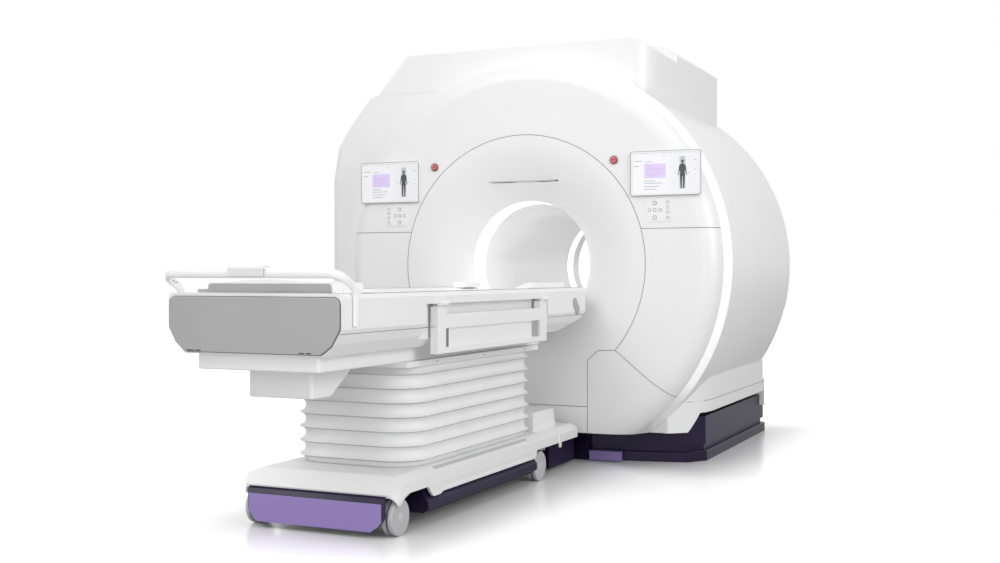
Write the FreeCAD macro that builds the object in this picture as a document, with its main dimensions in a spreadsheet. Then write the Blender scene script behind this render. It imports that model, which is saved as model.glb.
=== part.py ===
import FreeCAD, Part
import math
import os
import Sketcher

# A whole-body magnetic resonance scanner with its docked patient table.
# Millimetres, +Z up. The origin lies on the floor under the middle of the bore, the bore runs along Y,
# and the table stands on the -Y side. The right side is the side of +X.

SIZES = {
    # Magnet and bore
    "iso_height": 1102,
    "bore_radius": 350,
    "liner_wall": 6,
    "rf_outer": 384,
    "rf_half": 655,
    "gradient_outer": 450,
    "gradient_half": 720,
    "vessel_clearance": 255,
    "vessel_half": 800,
    "vessel_edge": 30,
    "fit_gap": 0.4,
    "seam": 0.6,
    "overrun": 1,
    # Front and rear faces
    "gantry_half": 930,
    "cover_wall": 12,
    "mouth_radius": 361,
    "mouth_depth": 136,
    "light_ring_length": 130,
    "light_ring_wall": 8,
    "throat_step": 2,
    "dish_radius": 700,
    "inner_disc_radius": 724,
    "bevel_reach": 100,
    "face_round": 102.5,
    "rim_inset": 25,
    "rim_lip": 4,
    "drum_radius": 1155,
    "rim_depth": 167,
    "rear_taper": 15,
    "rear_round": 120,
    "face_bottom": 178,
    "side_seam_height": 1292,
    "slot_half": 205,
    "slot_height": 8,
    "slot_level": 466,
    "slot_depth": 8,
    "frame_ring_half": 25,
    # Panels in the lower half of the face
    "apron_half": 394,
    "apron_top": 578,
    "dock_panel_top": 322,
    "service_knee_x": 455,
    "service_knee_z": 631,
    "service_elbow_x": 750,
    "service_elbow_z": 476,
    "service_end_x": 900,
    "service_end_z": 373,
    # Controls on the face
    "display_x0": 644,
    "display_lap": 2,
    "display_rise": 18,
    "display_height": 238,
    "display_proud": 15,
    "display_edge": 4,
    "display_corner": 12,
    "display_margin": 12,
    "screen_recess": 2,
    "screen_thick": 2,
    "keypad_x0": 724,
    "keypad_x1": 868,
    "keypad_rise": 38,
    "keypad_height": 117,
    "keypad_proud": 3,
    "stop_x": 546,
    "stop_z": 1664,
    "stop_radius": 20,
    "stop_proud": 12,
    "stop_travel": 4,
    # Side, top and rear covers
    "side_inset": 190,
    "side_sweep": 165,
    "side_corner_y": 450,
    "skirt_seam_height": 345,
    "skirt_bottom": 280,
    "toe_length": 83,
    "toe_slope_length": 80,
    "shoulder_reach": 205,
    "shoulder_round": 60,
    "shoulder_drop": 127,
    "shoulder_in1": 138,
    "shoulder_in2": 45,
    "shoulder_down2": 20,
    "shoulder_out3": 90,
    "shoulder_down3": 180,
    "shoulder_out4": 170,
    "shoulder_down4": 300,
    "shoulder_down5": 500,
    "shoulder_lap": 30,
    "box_inset": 455,
    "box_rise": 222,
    "box_lean": 197,
    "box_bevel_x": 90,
    "box_bevel_z": 67,
    "box_corner": 150,
    "box_step_y": 260,
    "box_rear_y": 654,
    "box_rear_rise": 38,
    # Base of the magnet
    "plinth_height": 56,
    "groove_height": 34,
    "groove_depth": 14,
    "tier_height": 160,
    "tier_inset": 10,
    "tier_wall": 45,
    "base_inset": 25,
    "base_front": 720,
    "base_bow": 120,
    "base_flat_half": 340,
    "base_corner_x": 84,
    "base_corner_y": 120,
    "base_rear": 1050,
    "base_rear_corner": 60,
    "foot_x0": 420,
    "foot_x1": 600,
    "foot_y0": 350,
    "foot_y1": 560,
    "cold_head_x": -150,
    "cold_head_y": 200,
    "cold_head_radius": 70,
    "cold_head_flange": 110,
    "cold_head_rise": 58,
    "cold_head_height": 280,
    # Docking
    "dock_post_half": 330,
    "dock_post_depth": 25,
    "dock_post_height": 150,
    "dock_socket_half": 200,
    "dock_unit_half": 290,
    "dock_unit_length": 400,
    "dock_unit_front": 830,
    "dock_unit_bottom": 20,
    "dock_unit_top": 170,
    "pedal_width": 183,
    "pedal_depth": 38,
    "pedal_bottom": 8,
    "pedal_top": 60,
    "pedal_pin_radius": 5,
    "pedal_pin_inset": 15,
    "pedal_side_gap": 12,
    "pedal_back_gap": 4,
    # Table top
    "dock_gap": 30,
    "table_length": 2490,
    "table_half": 392,
    "table_top": 976,
    "top_edge_drop": 18,
    "top_edge_inset": 10,
    "table_break": 845,
    "table_seam": 829,
    "table_bottom": 745,
    "lower_corner_x": 362,
    "lower_corner_z": 792,
    "bottom_half": 315,
    "table_wall": 12,
    "track_height": 950,
    "surround_length": 90,
    "end_chamfer_length": 208,
    "end_chamfer_height": 74,
    "panel_thick": 12,
    "panel_inset": 7,
    "panel_top": 948,
    "bridge_half": 290,
    "bridge_wall": 12,
    # Cradle
    "cradle_half": 285,
    "cradle_side_gap": 4,
    "cradle_end_gap": 15,
    "cradle_edge_top": 974,
    "cradle_edge": 10,
    "cradle_dish": 16,
    "block_length": 220,
    "block_top": 1015,
    "block_flange_half": 335,
    "block_flange_top": 990,
    "block_flange_gap": 1,
    "block_dome_half": 228,
    "block_dome_height": 12,
    "port_width": 70,
    "port_top": 1003,
    "port_long_y0": 1506,
    "port_ramp_y": 1360,
    "port_short_y0": 1210,
    "port_y1": 1000,
    # Handle
    "handle_half": 395,
    "handle_tube": 16,
    "handle_reach": 14,
    "handle_height": 1052,
    "handle_corner": 75,
    "handle_knee": 50,
    "handle_foot_inset": 112,
    "handle_knee_rise": 9,
    "handle_shoe_half": 25,
    "handle_shoe_bottom": 852,
    "handle_shoe_top": 900,
    "handle_shoe_thick": 16,
    "release_half": 79,
    "release_depth": 34,
    "release_thick": 9,
    # Side rails
    "rail_depth": 38,
    "rail_recess": 42,
    "rail_margin": 30,
    "rail_foot_inset": 750,
    "rail_length": 1177,
    "rail_z0": 714,
    "rail_z1": 879,
    "rail_window_y": 68,
    "rail_window_y1": 91,
    "rail_window_z0": 739,
    "rail_window_z1": 820,
    "rail_post_width": 80,
    "rail_post_top": 925,
    "rail_back": 12,
    "rail_edge": 4,
    "hinge_radius": 11,
    "hinge_pin_radius": 5,
    "hinge_out": 12,
    "hinge_bracket": 14,
    # Side buttons
    "side_button_y": 1100,
    "side_button_z": 876,
    "side_button_long": 105,
    "side_button_wide": 52,
    "side_button_proud": 4,
    "side_button_depth": 8,
    # Lift
    "tray_half": 277,
    "tray_bottom": 683,
    "tray_wall": 10,
    "tray_edge": 14,
    "tray_inset": 40,
    "tray_y1": 1330,
    "lift_plate_half": 300,
    "lift_plate_bottom": 660,
    "lift_plate_y0": 2790,
    "lift_plate_y1": 1400,
    "pump_half": 148,
    "pump_bottom": 567,
    "pump_inset": 150,
    "pump_length": 125,
    "pump_slant_length": 273,
    "pump_edge": 14,
    "column_y": 2095,
    "column_half_x": 130,
    "column_half_y": 100,
    "column_wall": 8,
    "column_gap": 2,
    "column_outer_top": 400,
    "column_inner_bottom": 312,
    # Bellows
    "bellows_half": 310,
    "bellows_y0": 2766,
    "bellows_y1": 1424,
    "bellows_corner": 150,
    "bellows_ridge": 25,
    "bellows_wall": 4,
    # Table base
    "cover_half": 370,
    "cover_y0": 3000,
    "cover_y1": 990,
    "cover_top": 235,
    "cover_flat_half": 318,
    "cover_side_top": 212,
    "cover_edge": 34,
    "nose_bottom": 160,
    "nose_length": 72,
    "nose_depth": 62,
    "nose_top": 172,
    "hump_gap": 5,
    "hump_y1": 1110,
    "hump_top": 332,
    "hump_half": 280,
    "wheel_radius": 75,
    "wheel_width": 18,
    "wheel_gap": 12,
    "wheel_x": 327,
    "wheel_trail": 58,
    "front_swivel_y": 2875,
    "rear_swivel_y": 1430,
    "arch_top": 168,
    "axle_radius": 6,
    "fork_thick": 9,
    "fork_head_radius": 24,
    "fork_neck": 19,
    "fork_neck_height": 1,
    "fork_head_thick": 8,
    "fork_stem_radius": 8,
    "fork_stem_length": 12,
    "deck_bottom": 158,
    "deck_thick": 17,
    "deck_half": 352,
    "keel_half": 180,
    "keel_bottom": 60,
    "sill_half": 345,
    "sill_reach": 23,
    "sill_bevel_bottom": 103,
    "sill_foot_top": 72,
    "sill_bottom": 55,
    "skirt_lip": 121,
    "skirt_bottom_z": 130,
    "band_bottom": 138,
    "band_top": 160,
    "band_depth": 6,
    "band_inset": 145,
    "skirt_rake": 20,
    "skirt_toe": 45,
    "skirt_heel": 105,
    "skirt_edge": 30,
    "sill_gap": 12,
    "end_plate_y": 3030,
    "end_plate_thick": 15,
    "end_plate_half": 330,
    "end_plate_bottom": 26,
    "end_plate_top": 139,
    "end_plate_side": 14,
    "end_plate_knee_z": 85,
    "end_plate_knee_x": 303,
    "end_plate_knee_z2": 51,
    "end_plate_toe_x": 266,
}
BELLOWS_RIDGES = 7


class Size:
    """A length together with the expression that gives it in the document."""

    def __init__(self, value, text):
        self.value = float(value)
        self.text = text

    def __add__(self, other):
        other = size(other)
        return Size(self.value + other.value, "(%s + %s)" % (self.text, other.text))

    def __sub__(self, other):
        other = size(other)
        return Size(self.value - other.value, "(%s - %s)" % (self.text, other.text))

    def __mul__(self, other):
        other = size(other)
        return Size(self.value * other.value, "(%s * %s)" % (self.text, other.text))

    def __truediv__(self, other):
        other = size(other)
        return Size(self.value / other.value, "(%s / %s)" % (self.text, other.text))

    def __radd__(self, other):
        return size(other) + self

    def __rsub__(self, other):
        return size(other) - self

    def __rmul__(self, other):
        return size(other) * self

    def __neg__(self):
        return Size(-self.value, "(0 - %s)" % self.text)


def size(value):
    return value if isinstance(value, Size) else Size(value, "(%.6f)" % value)


def root(value):
    return Size(math.sqrt(value.value), "sqrt(%s)" % value.text)


def leg(hypotenuse, other):
    """The second leg of a right triangle."""
    return root(hypotenuse * hypotenuse - other * other)


class Sheet:
    """Reads a cell of the spreadsheet by its alias; sizes that follow from others are set on it."""

    def __getattr__(self, name):
        return Size(SIZES[name], "dims." + name)


d = Sheet()
doc = FreeCAD.newDocument("mri_scanner")
sheet = doc.addObject("Spreadsheet::Sheet", "dims")
for row, (alias, length) in enumerate(SIZES.items(), 1):
    sheet.set("A%d" % row, alias)
    sheet.set("B%d" % row, str(length))
    sheet.setAlias("B%d" % row, alias)
doc.recompute()

NODES = []


# ---------------------------------------------------------------- drawing helpers

def node(thing):
    """Marks a finished sub-part, which is written to its own file."""
    NODES.append(thing)
    return thing


def new_body(name):
    body = doc.addObject("PartDesign::Body", name)
    body.Label = name
    body.AllowCompound = True
    return body


def arc_middle(start, end, radius):
    """Middle point of the short arc that turns left (radius > 0) or right (radius < 0)."""
    chord = end - start
    half = chord.Length / 2
    rise = abs(radius) - math.sqrt(radius * radius - half * half)
    normal = FreeCAD.Vector(chord.y, -chord.x, 0).normalize()
    return (start + end) * 0.5 + normal * math.copysign(rise, radius)


def draw_outline(sketch, corners):
    """A closed outline. A corner is (x, y), or (x, y, radius) where an arc leads up to it."""
    count = len(corners)
    points = [(size(c[0]), size(c[1])) for c in corners]
    first = sketch.GeometryCount
    ends = []
    for i in range(count):
        x0, y0 = points[i]
        x1, y1 = points[(i + 1) % count]
        target = corners[(i + 1) % count]
        start = FreeCAD.Vector(x0.value, y0.value, 0)
        end = FreeCAD.Vector(x1.value, y1.value, 0)
        if len(target) == 2:
            sketch.addGeometry(Part.LineSegment(start, end))
            ends.append((1, 2))
            continue
        radius = size(target[2])
        middle = arc_middle(start, end, radius.value)
        if radius.value > 0:
            sketch.addGeometry(Part.Arc(start, middle, end))
            ends.append((1, 2))
        else:
            sketch.addGeometry(Part.Arc(end, middle, start))
            ends.append((2, 1))
            radius = -radius
        index = sketch.addConstraint(Sketcher.Constraint("Radius", first + i, radius.value))
        sketch.setExpression("Constraints[%d]" % index, radius.text)
    for i in range(count):
        after = (i + 1) % count
        sketch.addConstraint(
            Sketcher.Constraint("Coincident", first + i, ends[i][1], first + after, ends[after][0]))
        for kind, value in zip(("DistanceX", "DistanceY"), points[i]):
            index = sketch.addConstraint(
                Sketcher.Constraint(kind, -1, 1, first + i, ends[i][0], value.value))
            sketch.setExpression("Constraints[%d]" % index, value.text)


def draw_circle(sketch, x, y, radius):
    x, y, radius = size(x), size(y), size(radius)
    centre = FreeCAD.Vector(x.value, y.value, 0)
    first = sketch.addGeometry(Part.Circle(centre, FreeCAD.Vector(0, 0, 1), radius.value))
    for kind, value in (("DistanceX", x), ("DistanceY", y)):
        index = sketch.addConstraint(Sketcher.Constraint(kind, -1, 1, first, 3, value.value))
        sketch.setExpression("Constraints[%d]" % index, value.text)
    index = sketch.addConstraint(Sketcher.Constraint("Radius", first, radius.value))
    sketch.setExpression("Constraints[%d]" % index, radius.text)


class Circle:
    """A round outline."""

    def __init__(self, x, y, radius):
        self.place = (x, y, radius)


def new_sketch(body, role, offset, outlines):
    """A sketch on one of the body's origin planes, moved along the plane's normal."""
    sketch = body.newObject("Sketcher::SketchObject", body.Label + "_sketch")
    plane = [f for f in body.Origin.OriginFeatures if f.Role == role][0]
    sketch.AttachmentSupport = [(plane, "")]
    sketch.MapMode = "FlatFace"
    sketch.setExpression("AttachmentOffset.Base.z", size(offset).text)
    for outline in outlines:
        if isinstance(outline, Circle):
            draw_circle(sketch, *outline.place)
        else:
            draw_outline(sketch, outline)
    return sketch


def extrude(body, kind, role, outlines, offset, length):
    sketch = new_sketch(body, role, offset, outlines)
    feature = body.newObject("PartDesign::" + kind, body.Label + "_" + kind.lower())
    feature.Profile = sketch
    feature.setExpression("Length", size(length).text)
    if kind == "Pocket":
        feature.Reversed = True
    body.Tip = feature
    doc.recompute()
    if kind == "Pocket":
        before = feature.BaseFeature.Shape.Volume
        if not feature.Shape.Volume < before - 1e-3:
            raise ValueError("a pocket of %s cuts nothing" % body.Label)
    return feature


def pad_xy(body, outlines, z0, z1):
    return extrude(body, "Pad", "XY_Plane", outlines, z0, size(z1) - z0)


def pad_xz(body, outlines, y0, y1):
    return extrude(body, "Pad", "XZ_Plane", outlines, -size(y1), size(y1) - y0)


def pad_yz(body, outlines, x0, x1):
    return extrude(body, "Pad", "YZ_Plane", outlines, x0, size(x1) - x0)


def cut_xy(body, outlines, z0, z1):
    return extrude(body, "Pocket", "XY_Plane", outlines, z0, size(z1) - z0)


def cut_xz(body, outlines, y0, y1):
    return extrude(body, "Pocket", "XZ_Plane", outlines, -size(y1), size(y1) - y0)


def cut_yz(body, outlines, x0, x1):
    return extrude(body, "Pocket", "YZ_Plane", outlines, x0, size(x1) - x0)


def turn(body, outline, role="XY_Plane", offset=0, axis="V_Axis", angle=360, kind="Revolution"):
    """Revolves an outline about an axis of its sketch."""
    sketch = new_sketch(body, role, offset, [outline])
    feature = body.newObject("PartDesign::" + kind, body.Label + "_" + kind.lower())
    feature.Profile = sketch
    feature.ReferenceAxis = (sketch, [axis])
    feature.Angle = angle
    body.Tip = feature
    doc.recompute()
    return feature


def turn_bore(body, outline):
    """Revolves an outline of (radius, y) about the axis of the bore."""
    return turn(body, outline, "XY_Plane", d.iso_height)


def edges_along(shape, axis, places):
    """Names of the straight edges along an axis through the given places of the other two axes."""
    names = []
    others = [i for i in range(3) if i != "XYZ".index(axis)]
    for number, edge in enumerate(shape.Edges, 1):
        if not isinstance(edge.Curve, Part.Line):
            continue
        a, b = edge.Vertexes[0].Point, edge.Vertexes[-1].Point
        if max(abs(a[i] - b[i]) for i in others) > 1e-4:
            continue
        for place in places:
            wanted = [size(p).value for p in place]
            if max(abs(a[i] - p) for i, p in zip(others, wanted)) < 1e-3:
                names.append("Edge%d" % number)
    return names


def edges_in_plane(shape, axis, value, keep=None):
    """Names of the edges that lie in a plane across an axis, where keep(middle) is true."""
    names = []
    i = "XYZ".index(axis)
    level = size(value).value
    for number, edge in enumerate(shape.Edges, 1):
        points = edge.discretize(5)
        if max(abs(p[i] - level) for p in points) < 1e-3 and (keep is None or keep(points[2])):
            names.append("Edge%d" % number)
    return names


def soften(body, names, radius, kind="Fillet"):
    """Rounds (or chamfers) edges of the body's last feature."""
    if not names:
        raise ValueError("no edges to soften on %s" % body.Label)
    base = body.Tip
    feature = body.newObject("PartDesign::" + kind, body.Label + "_" + kind.lower())
    feature.Base = (base, names)
    feature.setExpression("Radius" if kind == "Fillet" else "Size", size(radius).text)
    body.Tip = feature
    doc.recompute()
    return feature


def common(name, base, tool):
    thing = doc.addObject("Part::Common", name)
    thing.Label = name
    thing.Base = base
    thing.Tool = tool
    doc.recompute()
    return thing


def cut(name, base, tool):
    thing = doc.addObject("Part::Cut", name)
    thing.Label = name
    thing.Base = base
    thing.Tool = tool
    doc.recompute()
    return thing


def mirrored(name, source):
    """The same shape on the other side of the middle plane X = 0."""
    thing = doc.addObject("Part::Mirroring", name)
    thing.Label = name
    thing.Source = source
    thing.Normal = FreeCAD.Vector(1, 0, 0)
    doc.recompute()
    return thing


def group(name, things):
    """Separate solids that share one file."""
    thing = doc.addObject("Part::Compound", name)
    thing.Label = name
    thing.Links = things
    doc.recompute()
    return thing


def pair(name, source):
    """A solid and its mirror image in one file."""
    return group(name, [source, mirrored(name + "_other", source)])


def rectangle(x0, y0, x1, y1):
    return [(x0, y0), (x1, y0), (x1, y1), (x0, y1)]


def rounded_rectangle(x0, y0, x1, y1, r):
    x0, y0, x1, y1, r = size(x0), size(y0), size(x1), size(y1), size(r)
    return [(x0 + r, y0, r), (x1 - r, y0), (x1, y0 + r, r), (x1, y1 - r), (x1 - r, y1, r),
            (x0 + r, y1), (x0, y1 - r, r), (x0, y0 + r)]


def circle_point(radius, x):
    """Height above the floor of a circle about the bore axis, on its lower side."""
    return d.iso_height - leg(size(radius), size(x))


# ---------------------------------------------------------------- sizes that follow from others

d.bevel_radius = d.drum_radius - d.rim_inset
d.face_radius = d.bevel_radius - d.bevel_reach
d.drum_rear_radius = d.drum_radius - d.rear_taper
d.vessel_radius = d.drum_radius - d.vessel_clearance
d.side_half = d.drum_radius - d.side_inset
d.side_front_x = d.side_half - d.side_sweep
d.shoulder_half = d.drum_radius + d.shoulder_reach
d.shoulder_x1 = d.drum_radius - d.shoulder_in1
d.shoulder_x2 = d.drum_radius - d.shoulder_in2
d.shoulder_seam_height = d.iso_height + d.drum_radius - d.shoulder_drop
d.box_half = d.drum_radius - d.box_inset
d.box_top = d.shoulder_seam_height + d.box_rise
d.box_rear_top = d.box_top + d.box_rear_rise
d.base_half = d.side_half - d.base_inset
d.base_shoulder_half = d.shoulder_half - d.base_inset
d.table_end = d.gantry_half + d.dock_gap + d.table_length
d.rail_y0 = d.table_end - d.rail_foot_inset
d.rail_y1 = d.rail_y0 - d.rail_length


# ---------------------------------------------------------------- magnet

def hollow_cylinder(name, inner, outer, half, edge=None):
    body = new_body(name)
    if edge is None:
        outline = rectangle(inner, -half, outer, half)
    else:
        outline = [(inner, -half), (outer - edge, -half), (outer, -half + edge, edge),
                   (outer, half - edge), (outer - edge, half, edge), (inner, half)]
    turn_bore(body, outline)
    return node(body)


def magnet():
    liner_outer = d.bore_radius + d.liner_wall
    liner_half = d.gantry_half - d.mouth_depth - d.light_ring_length - d.seam
    hollow_cylinder("bore_liner", d.bore_radius, liner_outer, liner_half)
    hollow_cylinder("rf_body_coil", liner_outer + d.fit_gap, d.rf_outer, d.rf_half)
    hollow_cylinder("gradient_coil", d.rf_outer + d.fit_gap, d.gradient_outer, d.gradient_half)
    hollow_cylinder("magnet_vessel", d.gradient_outer + d.fit_gap, d.vessel_radius, d.vessel_half,
                    d.vessel_edge)


def magnet_feet():
    """Saddles between the plinth and the round underside of the vessel."""
    saddle = d.vessel_radius + d.fit_gap
    feet = []
    for side in (1, -1):
        for end in (1, -1):
            body = new_body("magnet_foot_%s%s" % ("r" if side > 0 else "l", "r" if end > 0 else "f"))
            outline = [(side * d.foot_x0, d.plinth_height + d.groove_height),
                       (side * d.foot_x1, d.plinth_height + d.groove_height),
                       (side * d.foot_x1, circle_point(saddle, d.foot_x1)),
                       (side * d.foot_x0, circle_point(saddle, d.foot_x0), -side * saddle)]
            y0, y1 = (d.foot_y0, d.foot_y1) if end > 0 else (-d.foot_y1, -d.foot_y0)
            pad_xz(body, [outline], y0, y1)
            feet.append(body)
    node(group("magnet_feet", feet))


def cold_head():
    """Cooler that stands on the round top of the vessel."""
    body = new_body("cold_head")
    flange_top = d.iso_height + d.vessel_radius + d.cold_head_rise
    root_level = d.iso_height + d.vessel_radius - 2 * d.vessel_edge
    pad_xy(body, [Circle(d.cold_head_x, d.cold_head_y, d.cold_head_flange)],
           root_level, flange_top)
    pad_xy(body, [Circle(d.cold_head_x, d.cold_head_y, d.cold_head_radius)],
           flange_top, flange_top + d.cold_head_height)
    cut_xz(body, [Circle(0, d.iso_height, d.vessel_radius + d.fit_gap)], 0, 2 * d.cold_head_y)
    return node(body)


def bore_bridge():
    """Hollow track in the bottom of the bore, with a flat top at the level of the table's track."""
    body = new_body("bore_bridge")
    outer = d.bore_radius - d.fit_gap
    inner = outer - d.bridge_wall
    top = d.track_height
    roof = top - d.bridge_wall
    half = d.bridge_half
    inner_half = half - d.bridge_wall
    segment = [(-half, top), (-half, circle_point(outer, half)),
               (half, circle_point(outer, half), outer), (half, top)]
    hollow = [(-inner_half, roof), (-inner_half, circle_point(inner, inner_half)),
              (inner_half, circle_point(inner, inner_half), inner), (inner_half, roof)]
    reach = d.gantry_half - d.mouth_depth
    pad_xz(body, [segment, hollow], -reach, reach)
    pad_xz(body, [rectangle(-half, roof, half, top)], -(d.gantry_half - d.seam), -reach)
    return node(body)


# ---------------------------------------------------------------- faces of the enclosure

def rim_end():
    """Y of the edge where the drum begins."""
    return -(d.gantry_half - d.rim_depth)


def mouth_arc_radius():
    """Radius of the dished arc from the flat face to the mouth of the bore."""
    run = d.dish_radius - d.mouth_radius
    return (run * run + d.mouth_depth * d.mouth_depth) / (2 * d.mouth_depth)


def face_profile(sign, outer):
    """Section (radius, y) of a dished face with its open back, from the mouth to the outer points."""
    wall = d.cover_wall
    face = sign * d.gantry_half
    mouth = sign * (d.gantry_half - d.mouth_depth)
    arc = mouth_arc_radius()
    return ([(d.mouth_radius, mouth), (d.dish_radius, face, -sign * arc)] + outer
            + [(d.dish_radius, face - sign * wall),
               (d.mouth_radius + wall, mouth, sign * (arc - wall))])


def bevel_start():
    """Y where the rounded edge of the face meets the rim."""
    reach = d.bevel_radius - d.face_radius
    return -d.gantry_half + d.face_round - leg(d.face_round, reach)


def front_shell():
    """The whole front face as one shell; its panels are parts of it."""
    body = new_body("front_shell")
    face = -d.gantry_half
    inner_round = d.face_round - d.cover_wall
    outer = [(d.face_radius, face), (d.bevel_radius, bevel_start(), d.face_round),
             (d.bevel_radius - d.cover_wall, bevel_start()),
             (d.face_radius, face + d.cover_wall, -inner_round)]
    turn_bore(body, face_profile(-1, outer))
    return body


def rim_ring():
    """Bright bevelled ring between the face and the drum, open at the bottom."""
    body = new_body("front_rim_ring")
    wall = d.cover_wall
    start = bevel_start() + d.seam
    end = rim_end()
    turn_bore(body, [(d.bevel_radius - wall - d.rim_lip, start), (d.bevel_radius, start),
                     (d.drum_radius, end), (d.drum_radius - wall, end), (d.drum_radius - wall, end - wall)])
    cut_xz(body, [rectangle(-d.drum_radius, -d.gantry_half, d.drum_radius, d.face_bottom)],
           start - d.overrun, end + d.overrun)
    return node(body)


def service_outline(side, inset):
    """Outline of the service panel beside the apron; it ends outside the rim."""
    far = d.drum_radius
    level = d.service_end_z
    circle_x = d.service_knee_x + (d.service_elbow_x - d.service_knee_x) / 3
    circle_z = circle_point(d.inner_disc_radius, circle_x)
    points = [(d.apron_half + inset, d.face_bottom), (far, d.face_bottom), (far, level - inset),
              (d.service_end_x, level - inset), (d.service_elbow_x, d.service_elbow_z - inset),
              (circle_x, circle_z - inset), (d.service_knee_x, d.service_knee_z - inset),
              (d.apron_half + inset, d.apron_top - inset)]
    return [(side * x, z) for x, z in points]


def zone_reach():
    """Y range of the prisms that cut the front face into panels; it takes in the whole mouth."""
    return -d.gantry_half - d.cover_wall, -d.gantry_half + d.mouth_depth + d.cover_wall


def zone(name, outlines, holes=()):
    """An upright prism in front of and through the front face, whose outline bounds a panel."""
    body = new_body(name)
    pad_xz(body, outlines, *zone_reach())
    for hole in holes:
        cut_xz(body, [hole], *zone_reach())
    return body


def front_panels():
    shell = front_shell()
    s = d.seam / 2
    far = d.drum_radius
    seam_z = d.side_seam_height
    ring_hole = Circle(0, d.iso_height, d.inner_disc_radius + s)

    inner = zone("inner_disc_zone", [Circle(0, d.iso_height, d.inner_disc_radius - s)])
    pad_xz(inner, [rectangle(-d.apron_half + s, d.dock_panel_top + s, d.apron_half - s, d.apron_top)],
           *zone_reach())
    for side in (1, -1):
        cut_xz(inner, [service_outline(side, -s)], *zone_reach())
    disc = common("front_disc_blank", shell, inner)
    slot = new_body("speaker_slot")
    level = d.iso_height + d.slot_level
    sag = mouth_arc_radius() - leg(mouth_arc_radius(), d.dish_radius - d.slot_level)
    pad_xz(slot, [rectangle(-d.slot_half, level - d.slot_height / 2,
                            d.slot_half, level + d.slot_height / 2)],
           -d.gantry_half - d.overrun, -d.gantry_half + sag + d.slot_depth)
    node(cut("front_inner_disc", disc, slot))

    upper = zone("upper_zone", [rectangle(-far, seam_z + s, far, d.iso_height + far)], [ring_hole])
    for side in (1, -1):
        cut_xz(upper, [Circle(side * d.stop_x, d.stop_z, d.stop_radius + d.fit_gap)],
               -d.gantry_half - d.cover_wall, -d.gantry_half + 2 * d.cover_wall)
    node(common("front_upper_cover", shell, upper))

    for side, name in ((1, "right"), (-1, "left")):
        x0, x1 = (0, far) if side > 0 else (-far, 0)
        half = zone("%s_zone" % name, [rectangle(x0, d.face_bottom, x1, seam_z - s)],
                    [ring_hole, service_outline(side, -s)])
        middle = rectangle(-d.apron_half - s, d.face_bottom - d.overrun, d.apron_half + s, d.apron_top)
        cut_xz(half, [middle], *zone_reach())
        node(common("front_%s_cover" % name, shell, half))

    panel = common("service_panel", shell, zone("service_zone", [service_outline(1, s)]))
    node(pair("service_panels", panel))

    dock = new_body("dock_panel")
    pad_xz(dock, [rectangle(-d.apron_half + s, d.face_bottom, d.apron_half - s, d.dock_panel_top - s)],
           -d.gantry_half, -d.gantry_half + d.cover_wall)
    node(dock)


def cover_frames():
    """Rings that carry the end covers on the ends of the vessel."""
    rings = []
    for sign, name in ((-1, "front"), (1, "rear")):
        body = new_body("cover_frame_" + name)
        near = sign * d.vessel_half
        far = sign * (d.gantry_half - d.cover_wall)
        turn_bore(body, rectangle(d.inner_disc_radius - d.frame_ring_half, near,
                                  d.inner_disc_radius + d.frame_ring_half, far))
        rings.append(body)
    node(group("cover_frames", rings))


def light_rings():
    """Lit funnel rings between the mouths and the liner."""
    rings = []
    wall = d.light_ring_wall
    for sign, name in ((-1, "front"), (1, "rear")):
        body = new_body("light_ring_" + name)
        mouth = sign * (d.gantry_half - d.mouth_depth - d.seam)
        throat = sign * (d.gantry_half - d.mouth_depth - d.light_ring_length)
        throat_radius = d.bore_radius + d.throat_step
        turn_bore(body, [(throat_radius, throat), (d.mouth_radius, mouth),
                         (d.mouth_radius + wall, mouth), (throat_radius + wall, throat)])
        rings.append(body)
    node(group("bore_light_rings", rings))


# ---------------------------------------------------------------- controls on the face

def displays():
    face = -d.gantry_half
    front = face - d.display_proud
    keypad_top = d.side_seam_height + d.keypad_rise + d.keypad_height
    z0 = keypad_top + d.display_rise
    z1 = z0 + d.display_height
    x1 = d.face_radius + d.display_lap
    housing = new_body("display_housing")
    pad_xz(housing, [rounded_rectangle(d.display_x0, z0, x1, z1, d.display_corner)], front, face)
    soften(housing, edges_in_plane(housing.Tip.Shape, "Y", front), d.display_edge)
    margin = d.display_margin
    glass = (d.display_x0 + margin, z0 + margin, x1 - margin, z1 - margin)
    cut_xz(housing, [rectangle(*glass)], front, front + d.screen_recess + d.screen_thick)
    node(pair("display_housings", housing))
    screen = new_body("display_screen")
    gap = d.fit_gap
    pad_xz(screen, [rectangle(glass[0] + gap, glass[1] + gap, glass[2] - gap, glass[3] - gap)],
           front + d.screen_recess, front + d.screen_recess + d.screen_thick)
    node(pair("display_screens", screen))
    keypad = new_body("keypad")
    keypad_bottom = d.side_seam_height + d.keypad_rise
    pad_xz(keypad, [rounded_rectangle(d.keypad_x0, keypad_bottom, d.keypad_x1, keypad_top, d.display_corner)],
           face - d.keypad_proud, face)
    node(pair("keypads", keypad))


def stop_buttons():
    face = -d.gantry_half
    button = new_body("stop_button_right")
    pad_xz(button, [Circle(d.stop_x, d.stop_z, d.stop_radius)],
           face - d.stop_proud, face + d.cover_wall - d.stop_travel)
    names = edges_in_plane(button.Tip.Shape, "Y", face - d.stop_proud)
    soften(button, names, d.stop_proud / 3, "Chamfer")
    node(button)
    node(mirrored("stop_button_left", button))


# ---------------------------------------------------------------- side, top and rear covers

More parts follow.
